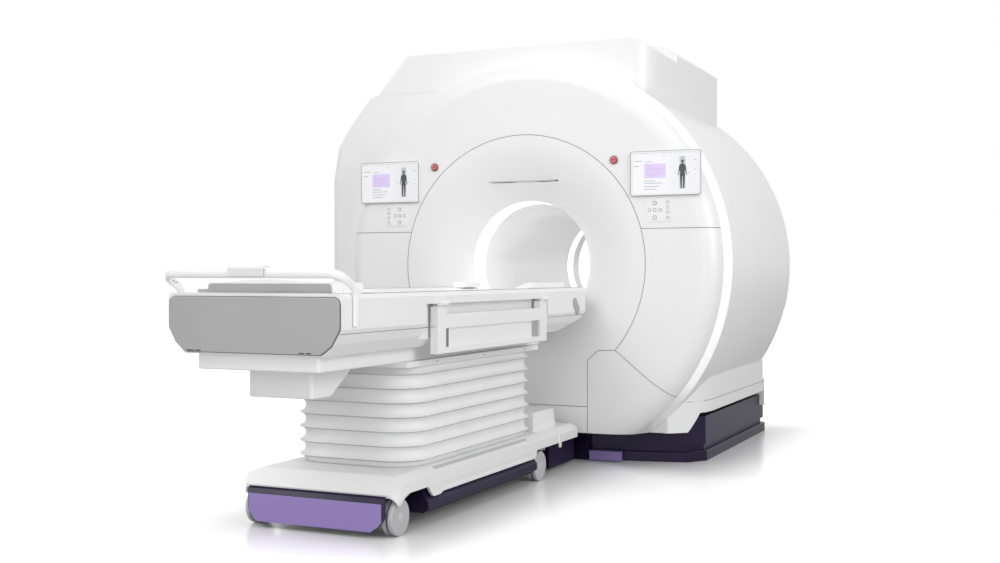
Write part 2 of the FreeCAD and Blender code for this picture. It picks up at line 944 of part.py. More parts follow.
def side_wall_outline(wall_in, wall_out, y_end):
    """Plan of the flat side wall with its swept front corner and its rounded rear corner."""
    corner_y = -d.side_corner_y
    front = rim_end() + d.seam
    x_out = d.side_half - wall_out
    x_in = d.side_half - wall_in
    front_out = d.side_front_x - wall_out
    front_in = d.side_front_x - wall_in
    run = d.side_half - d.side_front_x
    sweep_length = corner_y - front
    sweep = (run * run + sweep_length * sweep_length) / (2 * run)
    r_out = d.rear_round - wall_out
    r_in = d.rear_round - wall_in
    rear_centre = y_end - d.rear_round
    return [(front_in, front, -sweep), (front_out, front), (x_out, corner_y, sweep), (x_out, rear_centre),
            (x_out - r_out, rear_centre + r_out, r_out), (x_out - r_out, rear_centre + r_in),
            (x_in, rear_centre, -r_in), (x_in, corner_y)]


def drum_profile():
    """Section (radius, y) of the round side of the drum, from the rim to the rear face."""
    wall = d.cover_wall
    start = rim_end() + d.seam
    rear = d.gantry_half
    r = d.rear_round
    return [(d.drum_radius - wall, start), (d.drum_radius, start), (d.drum_rear_radius, rear - r),
            (d.drum_rear_radius - r, rear, r), (d.drum_rear_radius - r, rear - wall),
            (d.drum_rear_radius - wall, rear - r, wall - r)]


def side_cover_right():
    s = d.seam / 2
    far = 2 * d.drum_radius
    body = new_body("side_cover_right")
    turn_bore(body, drum_profile())
    y0, y1 = rim_end(), d.gantry_half + d.overrun
    cut_xz(body, [rectangle(-far, -far, d.box_half + s, 2 * far)], y0, y1)
    cut_xz(body, [rectangle(0, -far, far, d.skirt_seam_height + s)], y0, y1)
    pad_xy(body, [side_wall_outline(d.cover_wall, 0, d.gantry_half)],
           d.skirt_seam_height + s, circle_point(d.drum_radius, d.side_half) + d.cover_wall)
    return node(body)


def side_skirts():
    """Bottom strips of the side covers. The right one has a toe that reaches down to the face's foot."""
    s = d.seam / 2
    far = 2 * d.drum_radius
    front = rim_end() + d.seam
    top = d.skirt_seam_height - s
    over = d.overrun
    right = new_body("side_skirt_right")
    turn_bore(right, [(d.drum_radius - d.cover_wall, front), (d.drum_radius, front),
                      (d.drum_radius, front + d.toe_length + d.toe_slope_length),
                      (d.drum_radius - d.cover_wall, front + d.toe_length + d.toe_slope_length)])
    cut_xz(right, [rectangle(-far, top, far, far)], front - over, 0)
    cut_xz(right, [rectangle(-far, -far, d.foot_x0, far)], front - over, 0)
    pad_xy(right, [side_wall_outline(d.cover_wall, 0, d.gantry_half)], d.face_bottom, top)
    toe = front + d.toe_length
    cut_yz(right, [[(front - over, 0), (front - over, d.face_bottom), (toe, d.face_bottom),
                    (toe + d.toe_slope_length, d.skirt_bottom), (d.gantry_half + over, d.skirt_bottom),
                    (d.gantry_half + over, 0)]], d.foot_x0, far)

    left = new_body("side_skirt_left")
    rear = d.gantry_half
    x = -d.shoulder_half
    x_end = -d.drum_radius + 2 * d.shoulder_round
    outer = rounded_rectangle(x, front, 0, rear, d.shoulder_round)
    inner = rounded_rectangle(x + d.cover_wall, front + d.cover_wall, -d.cover_wall, rear - d.cover_wall,
                              d.shoulder_round - d.cover_wall)
    pad_xy(left, [outer, inner], d.skirt_bottom, top)
    cut_xy(left, [rectangle(x_end, front - over, over, rear + over)], d.skirt_bottom - over, top + over)
    node(group("side_skirts", [right, left]))


def shoulder_outline(inset):
    """Outline (x, z) of the squarish shoulder, from its seam with the top cover down to the skirt."""
    seam = d.shoulder_seam_height
    top = seam - d.seam / 2
    bottom = d.skirt_seam_height + d.seam / 2
    edge = d.shoulder_half - inset
    return [(-d.shoulder_x1, top - inset), (-d.shoulder_x2 + inset / 2, seam - d.shoulder_down2 - inset),
            (-d.drum_radius - d.shoulder_out3 + inset, seam - d.shoulder_down3 - inset / 2),
            (-d.drum_radius - d.shoulder_out4 + inset, seam - d.shoulder_down4 - inset / 2),
            (-edge, seam - d.shoulder_down5), (-edge, bottom)]


def side_cover_left():
    lap = d.drum_radius - d.shoulder_lap
    top = d.shoulder_seam_height - d.seam / 2
    bottom = d.skirt_seam_height + d.seam / 2
    front = rim_end() + d.seam
    rear = d.gantry_half
    high_x = leg(lap, top - d.iso_height)
    low_x = leg(lap, d.iso_height - bottom)
    outer = new_body("shoulder_outer")
    pad_xz(outer, [shoulder_outline(0) + [(-low_x, bottom), (-high_x, top, -lap)]], front, rear)
    flat = d.shoulder_seam_height - d.overrun

    def on_flank(point):
        return point.x < -d.shoulder_x2.value and point.z < flat.value

    names = (edges_in_plane(outer.Tip.Shape, "Y", front, on_flank)
             + edges_in_plane(outer.Tip.Shape, "Y", rear, on_flank))
    soften(outer, names, d.shoulder_round)
    inner = new_body("shoulder_inner")
    wall = d.cover_wall
    middle = -d.inner_disc_radius / 2
    pad_xz(inner, [shoulder_outline(wall)[:-1]
                   + [(-d.shoulder_half + wall, 0), (middle, 0), (middle, top - wall)]],
           front + wall, rear - wall)
    names = (edges_in_plane(inner.Tip.Shape, "Y", front + wall, on_flank)
             + edges_in_plane(inner.Tip.Shape, "Y", rear - wall, on_flank))
    soften(inner, names, d.shoulder_round - wall)
    return node(cut("side_cover_left", outer, inner))


def box_outline(top):
    """Outline (x, z) of the raised box over the drum; its foot follows the drum."""
    lap = d.drum_radius - d.cover_wall
    foot = d.shoulder_seam_height + d.seam / 2
    right = d.box_half - d.seam / 2
    high_x = leg(lap, foot - d.iso_height)
    right_z = d.iso_height + leg(lap, right)
    slope = d.box_lean / d.box_rise
    left_top = d.shoulder_x1 - slope * (top - d.shoulder_seam_height)
    return [(right, right_z, -lap), (right, top - d.box_bevel_z), (right - d.box_bevel_x, top),
            (-left_top, top), (-d.shoulder_x1, foot), (-high_x, foot)]


def top_cover(name, top, y0, y1):
    body = new_body(name)
    pad_xz(body, [box_outline(top)], y0, y1)
    return body


def top_covers():
    """Raised box over the drum in two parts; the rear one houses the cooler."""
    y0 = rim_end() + d.seam
    step = -d.box_step_y
    wall = d.cover_wall
    left = -d.shoulder_x1 + d.box_lean
    body = top_cover("top_cover_front", d.box_top, y0, step - d.seam / 2)
    corner = (d.box_half - d.seam / 2, y0)
    soften(body, edges_along(body.Tip.Shape, "Z", [corner]), d.box_corner)
    right = d.box_half - d.box_bevel_x - d.box_corner
    cut_xz(body, [rectangle(left + wall, d.iso_height, right, d.box_top - wall)], y0 + wall, step)
    node(body)
    body = top_cover("top_cover_rear", d.box_rear_top, step + d.seam / 2, d.box_rear_y)
    right = d.box_half - d.box_bevel_x
    cut_xz(body, [rectangle(left + 2 * wall, d.iso_height, right, d.box_rear_top - wall)], step + wall,
           d.box_rear_y - wall)
    node(body)


def rear_cover():
    """Dished rear face, with the crown of the drum behind the raised box."""
    shell = new_body("rear_shell")
    rear = d.gantry_half
    wall = d.cover_wall
    r = d.rear_round
    far = d.drum_radius * 2
    start = d.box_rear_y + d.seam
    outer = [(d.drum_rear_radius - r, rear), (d.drum_rear_radius, rear - r, -r),
             (d.drum_rear_radius, start), (d.drum_rear_radius - wall, start),
             (d.drum_rear_radius - wall, rear - r), (d.drum_rear_radius - r, rear - wall, r - wall)]
    turn_bore(shell, face_profile(1, outer))
    s = d.seam / 2
    keep = new_body("rear_zone")
    pad_xz(keep, [Circle(0, d.iso_height, d.drum_rear_radius - r - s)], 0, rear + d.overrun)
    lap = d.drum_radius - d.shoulder_lap - s
    pad_xz(keep, [[(0, d.iso_height + lap), (0, d.iso_height - lap, lap)]], 0, rear + d.overrun)
    edge = d.shoulder_seam_height + s
    pad_xz(keep, [[(-far, edge), (d.foot_x0, edge), (d.foot_x0, d.iso_height + d.vessel_radius / 2),
                   (d.box_half - s, d.iso_height + d.vessel_radius / 2), (d.box_half - s, far),
                   (-far, far)]], 0, rear + d.overrun)
    cut_xz(keep, [rectangle(-far, -far, far, d.face_bottom)], 0, rear + d.overrun)
    return node(common("rear_cover", shell, keep))


# ---------------------------------------------------------------- base of the magnet

def base_outline(inset, rear=None):
    """Plan of the base: bowed front, clipped corners, wider under the shoulder."""
    front = -d.base_front + inset
    corner = front + d.base_bow
    rear = d.base_rear - inset if rear is None else rear
    right = d.base_half - inset
    left = -d.base_shoulder_half + inset
    clip = d.base_rear_corner
    return [(d.base_flat_half, front), (right - d.base_corner_x, corner),
            (right, corner + d.base_corner_y), (right, rear - clip), (right - clip, rear),
            (left + clip, rear), (left, rear - clip), (left, corner + d.base_corner_y),
            (left + d.base_corner_x, corner), (-d.base_flat_half, front)]


def magnet_base():
    plinth = new_body("base_plinth")
    pad_xy(plinth, [base_outline(size(0))], 0, d.plinth_height)
    soften(plinth, edges_in_plane(plinth.Tip.Shape, "Z", d.plinth_height), d.groove_depth / 4, "Chamfer")
    groove_top = d.plinth_height + d.groove_height
    pad_xy(plinth, [base_outline(d.groove_depth + d.tier_inset)], d.plinth_height, groove_top)
    node(plinth)
    skirt = new_body("base_skirt")
    tier_top = groove_top + d.tier_height
    hole_rear = d.gantry_half + d.seam
    pad_xy(skirt, [base_outline(d.tier_inset),
                   base_outline(d.tier_inset + d.tier_wall, hole_rear)], groove_top, tier_top)
    cut_xz(skirt, [Circle(0, d.iso_height, d.vessel_radius + d.cover_wall)],
           -d.base_front, -d.base_front + 4 * d.tier_wall)
    node(skirt)


# ---------------------------------------------------------------- docking parts

def docking():
    gap = d.fit_gap
    plate_back = -d.base_front - gap
    plate_front = plate_back - d.dock_post_depth
    receptacle = new_body("dock_receptacle")
    pad_xz(receptacle, [rectangle(-d.dock_post_half, d.pedal_bottom, d.dock_post_half, d.dock_post_height)],
           plate_front, plate_back)
    pad_xz(receptacle, [rectangle(-d.dock_socket_half, d.dock_unit_bottom, d.dock_socket_half,
                                  d.dock_post_height)],
           -d.dock_unit_front + gap, plate_front)
    pin_y = (plate_front + plate_back) / 2
    pin_z = d.pedal_top - d.pedal_pin_inset
    cut_yz(receptacle, [Circle(pin_y, pin_z, d.pedal_pin_radius + gap)],
           d.dock_post_half - 2 * d.pedal_side_gap, d.dock_post_half + d.overrun)
    node(receptacle)
    pedal = new_body("dock_pedal")
    x0 = d.dock_post_half + d.pedal_side_gap
    back = plate_back - d.pedal_back_gap
    pad_xz(pedal, [rectangle(x0, d.pedal_bottom, x0 + d.pedal_width, d.pedal_top)],
           back - d.pedal_depth, back)
    soften(pedal, edges_along(pedal.Tip.Shape, "X", [(back - d.pedal_depth, d.pedal_top)]),
           d.pedal_pin_radius)
    pad_yz(pedal, [Circle(pin_y, pin_z, d.pedal_pin_radius)],
           d.dock_post_half - 2 * d.pedal_side_gap + gap, x0)
    node(pedal)
    unit = new_body("table_dock_unit")
    y1 = -d.dock_unit_front
    y0 = y1 - d.dock_unit_length
    pad_xz(unit, [rectangle(-d.dock_unit_half, d.dock_unit_bottom, d.dock_unit_half, d.dock_unit_top)],
           y0, y1)
    soften(unit, edges_along(unit.Tip.Shape, "Z", [(d.dock_unit_half, y1), (-d.dock_unit_half, y1)]),
           d.tier_wall)
    node(unit)


# ---------------------------------------------------------------- table top

def table_near():
    """Y of the table's end at the bore."""
    return -(d.gantry_half + d.dock_gap)


def table_far():
    """Y of the table's foot end."""
    return table_near() - d.table_length


def seam_x():
    """Half width of the table at the seam between its two shells."""
    slope = (d.table_half - d.lower_corner_x) / (d.table_break - d.lower_corner_z)
    return d.table_half - slope * (d.table_break - d.table_seam)


def mirror_outline(right):
    """Adds the left half to the right half of an outline that runs from the bottom up."""
    return right + [(-p[0],) + tuple(p[1:]) for p in reversed(right)]


def recess_range():
    """Y range of the hollows for the side rails."""
    return -(d.rail_y0 + 3 * d.rail_margin), -(d.rail_y1 - d.rail_margin)


def rail_recess_cut(body):
    """Hollows for the side rails."""
    x0 = d.table_half - d.rail_recess
    x1 = d.table_half + d.overrun
    for side in (1, -1):
        a, b = (x0, x1) if side > 0 else (-x1, -x0)
        cut_xz(body, [rectangle(a, d.table_bottom - d.overrun, b, d.rail_post_top + d.fit_gap)],
               *recess_range())


def in_lengths(name, whole, far, near):
    """The foot, middle and head lengths that a long moulding is made in."""
    y0, y1 = recess_range()
    s = d.seam / 2
    half = 2 * d.table_half
    lengths = []
    for part, a, b in (("foot", far, y0 - s), ("middle", y0 + s, y1 - s), ("head", y1 + s, near)):
        span = new_body("%s_%s_span" % (name, part))
        pad_xz(span, [rectangle(-half, d.table_bottom, half, d.table_top)], a, b)
        lengths.append(common("%s_%s" % (name, part), whole, span))
    return node(group(name, lengths))


def table_shells():
    inner = d.table_half - d.rail_recess - d.table_wall
    wall = d.table_wall
    far = table_far() + d.panel_thick + d.seam
    near = table_near()
    s = d.seam / 2
    upper = new_body("upper_moulding")
    outside = mirror_outline([(seam_x(), d.table_seam + s), (d.table_half, d.table_break),
                              (d.table_half, d.table_top - d.top_edge_drop),
                              (d.table_half - d.top_edge_inset, d.table_top)])
    roof = d.track_height - wall
    pad_xz(upper, [outside], far, near)
    cut_xz(upper, [rectangle(-inner, d.table_seam - d.overrun, inner, roof)], far + wall, near - wall)
    channel = d.cradle_half + d.cradle_side_gap
    cut_xz(upper, [rectangle(-channel, d.track_height, channel, d.table_top + d.overrun)],
           far + d.surround_length, near + d.overrun)
    rail_recess_cut(upper)
    for side in (1, -1):
        button_pocket(upper, side)
    rail_brackets(upper)
    in_lengths("table_upper_frame", upper, far, near)
    lower = new_body("lower_moulding")
    outside = mirror_outline([(d.bottom_half, d.table_bottom), (d.lower_corner_x, d.lower_corner_z),
                              (seam_x(), d.table_seam - s)])
    pad_xz(lower, [outside], far, near)
    inside = mirror_outline([(d.bottom_half - wall, d.table_bottom + wall), (inner, d.lower_corner_z + wall),
                             (inner, d.table_seam)])
    cut_xz(lower, [inside], far + wall, near - d.end_chamfer_length - wall)
    rail_recess_cut(lower)
    chamfer_top = d.table_bottom + d.end_chamfer_height
    cut_yz(lower, [[(near - d.end_chamfer_length, d.table_bottom - d.overrun),
                    (near + d.overrun, d.table_bottom - d.overrun),
                    (near + d.overrun, chamfer_top), (near - d.end_chamfer_length, d.table_bottom)]],
           -d.table_half, d.table_half)
    in_lengths("table_lower_shell", lower, far, near)


def end_panel():
    """Plain panel that closes the foot end."""
    body = new_body("table_end_panel")
    inset = d.panel_inset
    outline = mirror_outline([(d.bottom_half - inset / 2, d.table_bottom + inset),
                              (d.lower_corner_x - inset, d.lower_corner_z),
                              (d.table_half - inset, d.table_break), (d.table_half - inset, d.panel_top)])
    pad_xz(body, [outline], table_far(), table_far() + d.panel_thick)
    soften(body, edges_along(body.Tip.Shape, "Y", [(d.table_half - inset, d.panel_top),
                                                   (-(d.table_half - inset), d.panel_top)]),
           d.rail_margin)
    soften(body, edges_in_plane(body.Tip.Shape, "Y", table_far()), d.panel_thick / 3)
    return node(body)


def button_frame(side, grow):
    """Outline (y, z) of the slanted oval button: straight flanks, round ends."""
    slant = math.sqrt(0.5)
    half = (d.side_button_long - d.side_button_wide) / 2
    r = d.side_button_wide / 2 + grow
    y, z = -d.side_button_y, d.side_button_z
    ends = (-half * slant, half * slant), (half * slant, -half * slant)
    (ay, az), (by, bz) = ends
    n = r * slant
    return [(y + ay - n, z + az - n, r), (y + by - n, z + bz - n), (y + by + n, z + bz - n, r),
            (y + by + n, z + bz + n, r), (y + ay + n, z + az + n), (y + ay - n, z + az + n, r)]


def button_pocket(body, side):
    inside = d.table_half - d.side_button_depth - d.fit_gap
    outside = d.table_half + d.overrun
    x0, x1 = (inside, outside) if side > 0 else (-outside, -inside)
    cut_yz(body, [button_frame(side, d.fit_gap)], x0, x1)


def side_buttons():
    travel = d.side_button_proud - d.overrun
    button = new_body("side_button_right")
    outline = button_frame(1, size(0))
    pad_yz(button, [outline], d.table_half - d.side_button_depth + travel,
           d.table_half + d.side_button_proud)
    node(button)
    node(mirrored("side_button_left", button))


# ---------------------------------------------------------------- side rails

def hinge_x():
    return d.table_half + d.hinge_out


def rail_posts():
    """Y ranges of the two posts."""
    return ((-d.rail_y0, -d.rail_y0 + d.rail_post_width), (-d.rail_y1 - d.rail_post_width, -d.rail_y1))


def knuckle_range(post):
    """The middle half of a post carries its knuckle."""
    y0, y1 = post
    quarter = (y1 - y0) / 4
    return y0 + quarter, y1 - quarter


def rail_brackets(body):
    """Hinge brackets at both ends of every knuckle, with the pins."""
    gap = d.fit_gap
    z = d.rail_post_top
    for side in (1, -1):
        for post in rail_posts():
            y0, y1 = knuckle_range(post)
            spans = ((y0 - gap - d.hinge_bracket, y0 - gap), (y1 + gap, y1 + gap + d.hinge_bracket))
            for a, b in spans:
                root_x = d.table_half - d.overrun
                r = d.hinge_radius
                outline = [(side * root_x, z - r), (side * hinge_x(), z - r),
                           (side * (hinge_x() + r), z, side * r), (side * hinge_x(), z + r, side * r),
                           (side * root_x, z + r)]
                pad_xz(body, [outline], a, b)
            pad_xz(body, [Circle(side * hinge_x(), z, d.hinge_pin_radius)],
                   spans[0][0] + d.hinge_bracket / 2, spans[1][1] - d.hinge_bracket / 2)


def side_rails():
    rail = new_body("side_rail_right")
    x0 = d.table_half - d.rail_recess + d.rail_back
    x1 = x0 + d.rail_depth
    y0, y1 = -d.rail_y0, -d.rail_y1
    w = d.rail_post_width
    z0, z1, top = d.rail_z0, d.rail_z1, d.rail_post_top
    over = d.overrun
    outline = [(y0, z0), (y1, z0), (y1, top), (y1 - w, top), (y1 - w, z1), (y0 + w, z1), (y0 + w, top),
               (y0, top)]
    window = rectangle(y0 + d.rail_window_y, d.rail_window_z0, y1 - d.rail_window_y1, d.rail_window_z1)
    pad_yz(rail, [outline], x0, x1)
    soften(rail, edges_in_plane(rail.Tip.Shape, "X", x1), d.rail_edge)
    cut_yz(rail, [window], x1 - d.rail_back, x1 + over)
    shoulder = top - d.hinge_radius - 2 * d.fit_gap
    for post in rail_posts():
        a, b = knuckle_range(post)
        cut_xz(rail, [rectangle(x0 - over, shoulder, x1 + over, top + over)], post[0] - over, a)
        cut_xz(rail, [rectangle(x0 - over, shoulder, x1 + over, top + over)], b, post[1] + over)
        pad_xz(rail, [Circle(hinge_x(), top, d.hinge_radius)], a, b)
        cut_xz(rail, [Circle(hinge_x(), top, d.hinge_pin_radius + d.fit_gap)], a - over, b + over)
    node(rail)
    node(mirrored("side_rail_left", rail))


# ---------------------------------------------------------------- handle

def handle_path():
    """Centre line of the handle tube: up beside the table, over to the bar, and down again."""
    beside = (d.table_half + d.seam + d.handle_tube).value
    bar_x = (d.handle_half - d.handle_tube).value
    foot_y = -(d.table_end - d.handle_foot_inset).value
    foot = FreeCAD.Vector(beside, foot_y, (d.handle_shoe_bottom + d.handle_tube).value)
    knee = FreeCAD.Vector(beside, foot_y, (d.table_top + d.handle_knee_rise).value)
    corner = FreeCAD.Vector(bar_x, -(d.table_end + d.handle_reach).value, d.handle_height.value)
    bends = [(knee, d.handle_knee.value), (corner, d.handle_corner.value)]
    bends += [(FreeCAD.Vector(-p.x, p.y, p.z), r) for p, r in reversed(bends)]
    end = FreeCAD.Vector(-foot.x, foot.y, foot.z)
    points = [(foot, 0)] + bends + [(end, 0)]
    edges = []
    last = foot
    for (before, _), (point, radius), (after, _) in zip(points, points[1:], points[2:]):
        back = (before - point).normalize()
        ahead = (after - point).normalize()
        half = math.acos(back.dot(ahead)) / 2
        reach = radius / math.tan(half)
        middle = point + (back + ahead).normalize() * (radius / math.sin(half) - radius)
        start, stop = point + back * reach, point + ahead * reach
        edges.append(Part.LineSegment(last, start).toShape())
        edges.append(Part.Arc(start, middle, stop).toShape())
        last = stop
    edges.append(Part.LineSegment(last, end).toShape())
    return Part.Wire(edges)


def push_handle():
    """Bent tube whose ends stand in shoes on the sides of the table."""
    spine = doc.addObject("Part::Feature", "handle_centre_line")
    spine.Shape = handle_path()
    start = spine.Shape.Edges[0]
    ring = doc.addObject("Part::Circle", "handle_section")
    ring.setExpression("Radius", "dims.handle_tube")
    direction = start.tangentAt(start.FirstParameter)
    ring.Placement = FreeCAD.Placement(start.valueAt(start.FirstParameter),
                                       FreeCAD.Rotation(FreeCAD.Vector(0, 0, 1), direction))
    tube = doc.addObject("Part::Sweep", "handle_tube")
    tube.Sections = [ring]
    tube.Spine = (spine, [])
    tube.Solid = True
    tube.Frenet = False
    x0 = d.table_half + d.seam
    x1 = x0 + d.handle_shoe_thick
    middle = d.table_end - d.handle_foot_inset
    shoe = new_body("handle_shoe_right")
    pad_yz(shoe, [rounded_rectangle(-middle - d.handle_shoe_half, d.handle_shoe_bottom,
                                    -middle + d.handle_shoe_half, d.handle_shoe_top,
                                    d.handle_shoe_thick)], x0, x1)
    handle = doc.addObject("Part::MultiFuse", "push_handle")
    handle.Shapes = [tube, shoe, mirrored("handle_shoe_left", shoe)]
    handle.Label = "push_handle"
    doc.recompute()
    return node(handle)


def release_lever():
    """Lever that lies over the middle of the handle."""
    body = new_body("handle_release")
    y = -(d.table_end + d.handle_reach)
    z = d.handle_height
    r = d.handle_tube + d.fit_gap
    out = r + d.release_thick
    outline = [(y, z + r), (y - r, z, r), (y - out, z), (y, z + out, -out), (y + d.release_depth, z + out),
               (y + d.release_depth, z + r)]
    pad_yz(body, [outline], -d.release_half, d.release_half)
    return node(body)


# ---------------------------------------------------------------- cradle

def cradle_parts():
    base = d.track_height + d.fit_gap
    near = table_near() - d.cradle_end_gap
    far = table_far() + d.panel_thick + d.surround_length + d.cradle_end_gap
    edge_x = d.cradle_half - d.cradle_edge
    bow = (edge_x * edge_x + d.cradle_dish * d.cradle_dish) / (2 * d.cradle_dish)
    cradle = new_body("cradle")
    pad_xz(cradle, [[(-d.cradle_half, base), (d.cradle_half, base), (d.cradle_half, d.cradle_edge_top),
                     (edge_x, d.cradle_edge_top), (-edge_x, d.cradle_edge_top, -bow),
                     (-d.cradle_half, d.cradle_edge_top)]], far, near)
    node(cradle)
    block = new_body("cradle_end_block")
    end = far + d.block_length
    flange_bottom = d.table_top + d.block_flange_gap
    outline = mirror_outline([(d.cradle_half, d.cradle_edge_top), (d.cradle_half, flange_bottom),
                              (d.block_flange_half, flange_bottom), (d.block_flange_half, d.block_flange_top),
                              (d.cradle_half, d.block_flange_top), (d.cradle_half, d.block_top)])
    pad_xz(block, [outline], far, end)
    dome_half = d.block_dome_half
    dome = (dome_half * dome_half + d.block_dome_height * d.block_dome_height) / (2 * d.block_dome_height)
    pad_xz(block, [[(-dome_half, d.block_top, dome), (dome_half, d.block_top),
                    (0, d.block_top + d.block_dome_height, dome)]],
           far + d.cradle_edge, end - d.cradle_edge)
    node(block)
    ports = []
    x1 = d.cradle_half
    x0 = x1 - d.port_width
    z0, z1 = d.cradle_edge_top, d.port_top
    long_port = new_body("coil_port_right")
    pad_yz(long_port, [[(-d.port_long_y0, z0), (-d.port_y1, z0), (-d.port_y1, z1 - d.cradle_edge),
                        (-d.port_y1 - d.cradle_edge, z1), (-d.port_ramp_y, z1)]], x0, x1)
    ports.append(long_port)
    short_port = new_body("coil_port_left")
    pad_yz(short_port, [[(-d.port_short_y0, z0), (-d.port_y1, z0), (-d.port_y1, z1 - d.cradle_edge),
                         (-d.port_y1 - d.cradle_edge, z1), (-d.port_short_y0 + d.cradle_edge, z1)]],
           -x1, -x0)
    ports.append(short_port)
    node(group("coil_ports", ports))


# ---------------------------------------------------------------- lift

def lift_parts():
    wall = d.tray_wall
    top = d.table_bottom - d.fit_gap
    far = -(d.table_end - d.tray_inset)
    tray = new_body("lift_top_frame")
    pad_xy(tray, [rectangle(-d.tray_half, far, d.tray_half, -d.tray_y1)], d.tray_bottom, top)
    corners = [(d.tray_half, far), (-d.tray_half, far)]
    soften(tray, edges_along(tray.Tip.Shape, "Z", corners), d.tray_edge)
    soften(tray, edges_in_plane(tray.Tip.Shape, "Z", d.tray_bottom), d.tray_edge / 2)
    cut_xy(tray, [rectangle(-d.tray_half + wall, far + wall, d.tray_half - wall, -d.tray_y1 - wall)],
           d.tray_bottom + wall, top + d.overrun)
    pad_xy(tray, [rectangle(-d.lift_plate_half, -d.lift_plate_y0, d.lift_plate_half, -d.lift_plate_y1)],
           d.lift_plate_bottom, d.tray_bottom)
    node(tray)
    pump = new_body("pump_housing")
    top = d.tray_bottom - d.fit_gap
    slant_z = d.lift_plate_bottom
    far = far + d.pump_inset
    slant_y = far + d.pump_slant_length
    pad_yz(pump, [[(far, d.pump_bottom), (far + d.pump_length, d.pump_bottom), (slant_y, slant_z),
                   (slant_y, top), (far, top)]], -d.pump_half, d.pump_half)
    soften(pump, edges_along(pump.Tip.Shape, "Z", [(d.pump_half, far), (-d.pump_half, far)]), d.pump_edge)
    soften(pump, edges_in_plane(pump.Tip.Shape, "Z", d.pump_bottom), d.pump_edge / 2)
    node(pump)
    y = -d.column_y
    outer = new_body("lift_outer")
    hx, hy, w = d.column_half_x, d.column_half_y, d.column_wall
    pad_xy(outer, [rectangle(-hx, y - hy, hx, y + hy), rectangle(-hx + w, y - hy + w, hx - w, y + hy - w)],
           d.keel_bottom, d.column_outer_top)
    node(outer)
    inner = new_body("lift_inner")
    hx, hy = hx - w - d.column_gap, hy - w - d.column_gap
    pad_xy(inner, [rectangle(-hx, y - hy, hx, y + hy), rectangle(-hx + w, y - hy + w, hx - w, y + hy - w)],
           d.column_inner_bottom, d.lift_plate_bottom - d.fit_gap)
    node(inner)


def bellows():
    """Pleated sleeve: the zigzag section of its wall swept round a rounded rectangle."""
    z0 = d.cover_top + d.fit_gap
    z1 = d.lift_plate_bottom - d.fit_gap
    pitch = (z1 - z0) / BELLOWS_RIDGES
    valley = d.bellows_half - d.bellows_ridge
    zigzag = [(valley, z0)]
    for i in range(BELLOWS_RIDGES):
        zigzag.append((d.bellows_half, z0 + pitch * (i + 0.5)))
        zigzag.append((valley, z0 + pitch * (i + 1)))
    section = zigzag + [(x - d.bellows_wall, z) for x, z in reversed(zigzag)]
    body = new_body("bellows")
    y0, y1 = -d.bellows_y0, -d.bellows_y1
    middle = (y0 + y1) / 2
    half = d.bellows_half
    r = d.bellows_corner
    path = new_sketch(body, "XY_Plane", z0, [[
        (half, middle), (half, y1 - r), (half - r, y1, r), (-half + r, y1), (-half, y1 - r, r),
        (-half, y0 + r), (-half + r, y0, r), (half - r, y0), (half, y0 + r, r)]])
    profile = new_sketch(body, "XZ_Plane", -middle, [section])
    pipe = body.newObject("PartDesign::AdditivePipe", "bellows_pipe")
    pipe.Profile = profile
    pipe.Spine = (path, [])
    pipe.SpineTangent = False
    body.Tip = pipe
    doc.recompute()
    return node(body)


# ---------------------------------------------------------------- table base

def chassis_near():
    """Y where the chassis meets the dock unit."""
    return -d.dock_unit_front - d.dock_unit_length


def nose_back():
    """Y of the back of the cover's solid nose."""
    return -d.cover_y0 + d.nose_depth


def well_edge(swivel, sign):
    """Y of the edge of a wheel's well, clear of the wheel as it swivels."""
    return -swivel + sign * (d.wheel_trail + d.wheel_radius + d.sill_gap)


def base_chassis():
    """Welded frame: keels and decks over the wheels, and a deep sill between them."""
    gap = d.fit_gap
    under = d.deck_bottom + gap
    top = d.deck_bottom + d.deck_thick
    front = -d.end_plate_y + d.end_plate_thick
    near = chassis_near() - gap
    sill_front = well_edge(d.front_swivel_y, 1)
    sill_rear = well_edge(d.rear_swivel_y, -1)
    parts = []
    middle = new_body("chassis_sill")
    outline = mirror_outline([(d.sill_half, d.sill_bottom), (d.sill_half + d.sill_reach, d.sill_foot_top),
                              (d.sill_half + d.sill_reach, d.sill_bevel_bottom),
                              (d.sill_half, d.skirt_bottom_z - gap), (d.sill_half, top)])
    pad_xz(middle, [outline], sill_front, sill_rear)
    y = -d.column_y
    hx, hy = d.column_half_x + gap, d.column_half_y + gap
    cut_xy(middle, [rectangle(-hx, y - hy, hx, y + hy)], d.sill_bottom - d.overrun, top + d.overrun)
    parts.append(middle)
    ends = (("front", nose_back() + gap, sill_front - gap, front, d.front_swivel_y),
            ("rear", sill_rear + gap, near, sill_rear + gap, d.rear_swivel_y))
    for end, deck_y0, deck_y1, keel_y0, swivel in ends:
        deck = new_body("chassis_deck_" + end)
        pad_xz(deck, [rectangle(-d.deck_half, under, d.deck_half, top)], deck_y0, deck_y1)
        for side in (1, -1):
            cut_xy(deck, [Circle(side * d.wheel_x, -swivel, d.fork_stem_radius + gap)],
                   under - d.overrun, top + d.overrun)
        parts.append(deck)
        keel = new_body("chassis_keel_" + end)
        pad_xz(keel, [rectangle(-d.keel_half, d.keel_bottom, d.keel_half, d.deck_bottom)], keel_y0, deck_y1)
        parts.append(keel)
    return node(group("base_chassis", parts))


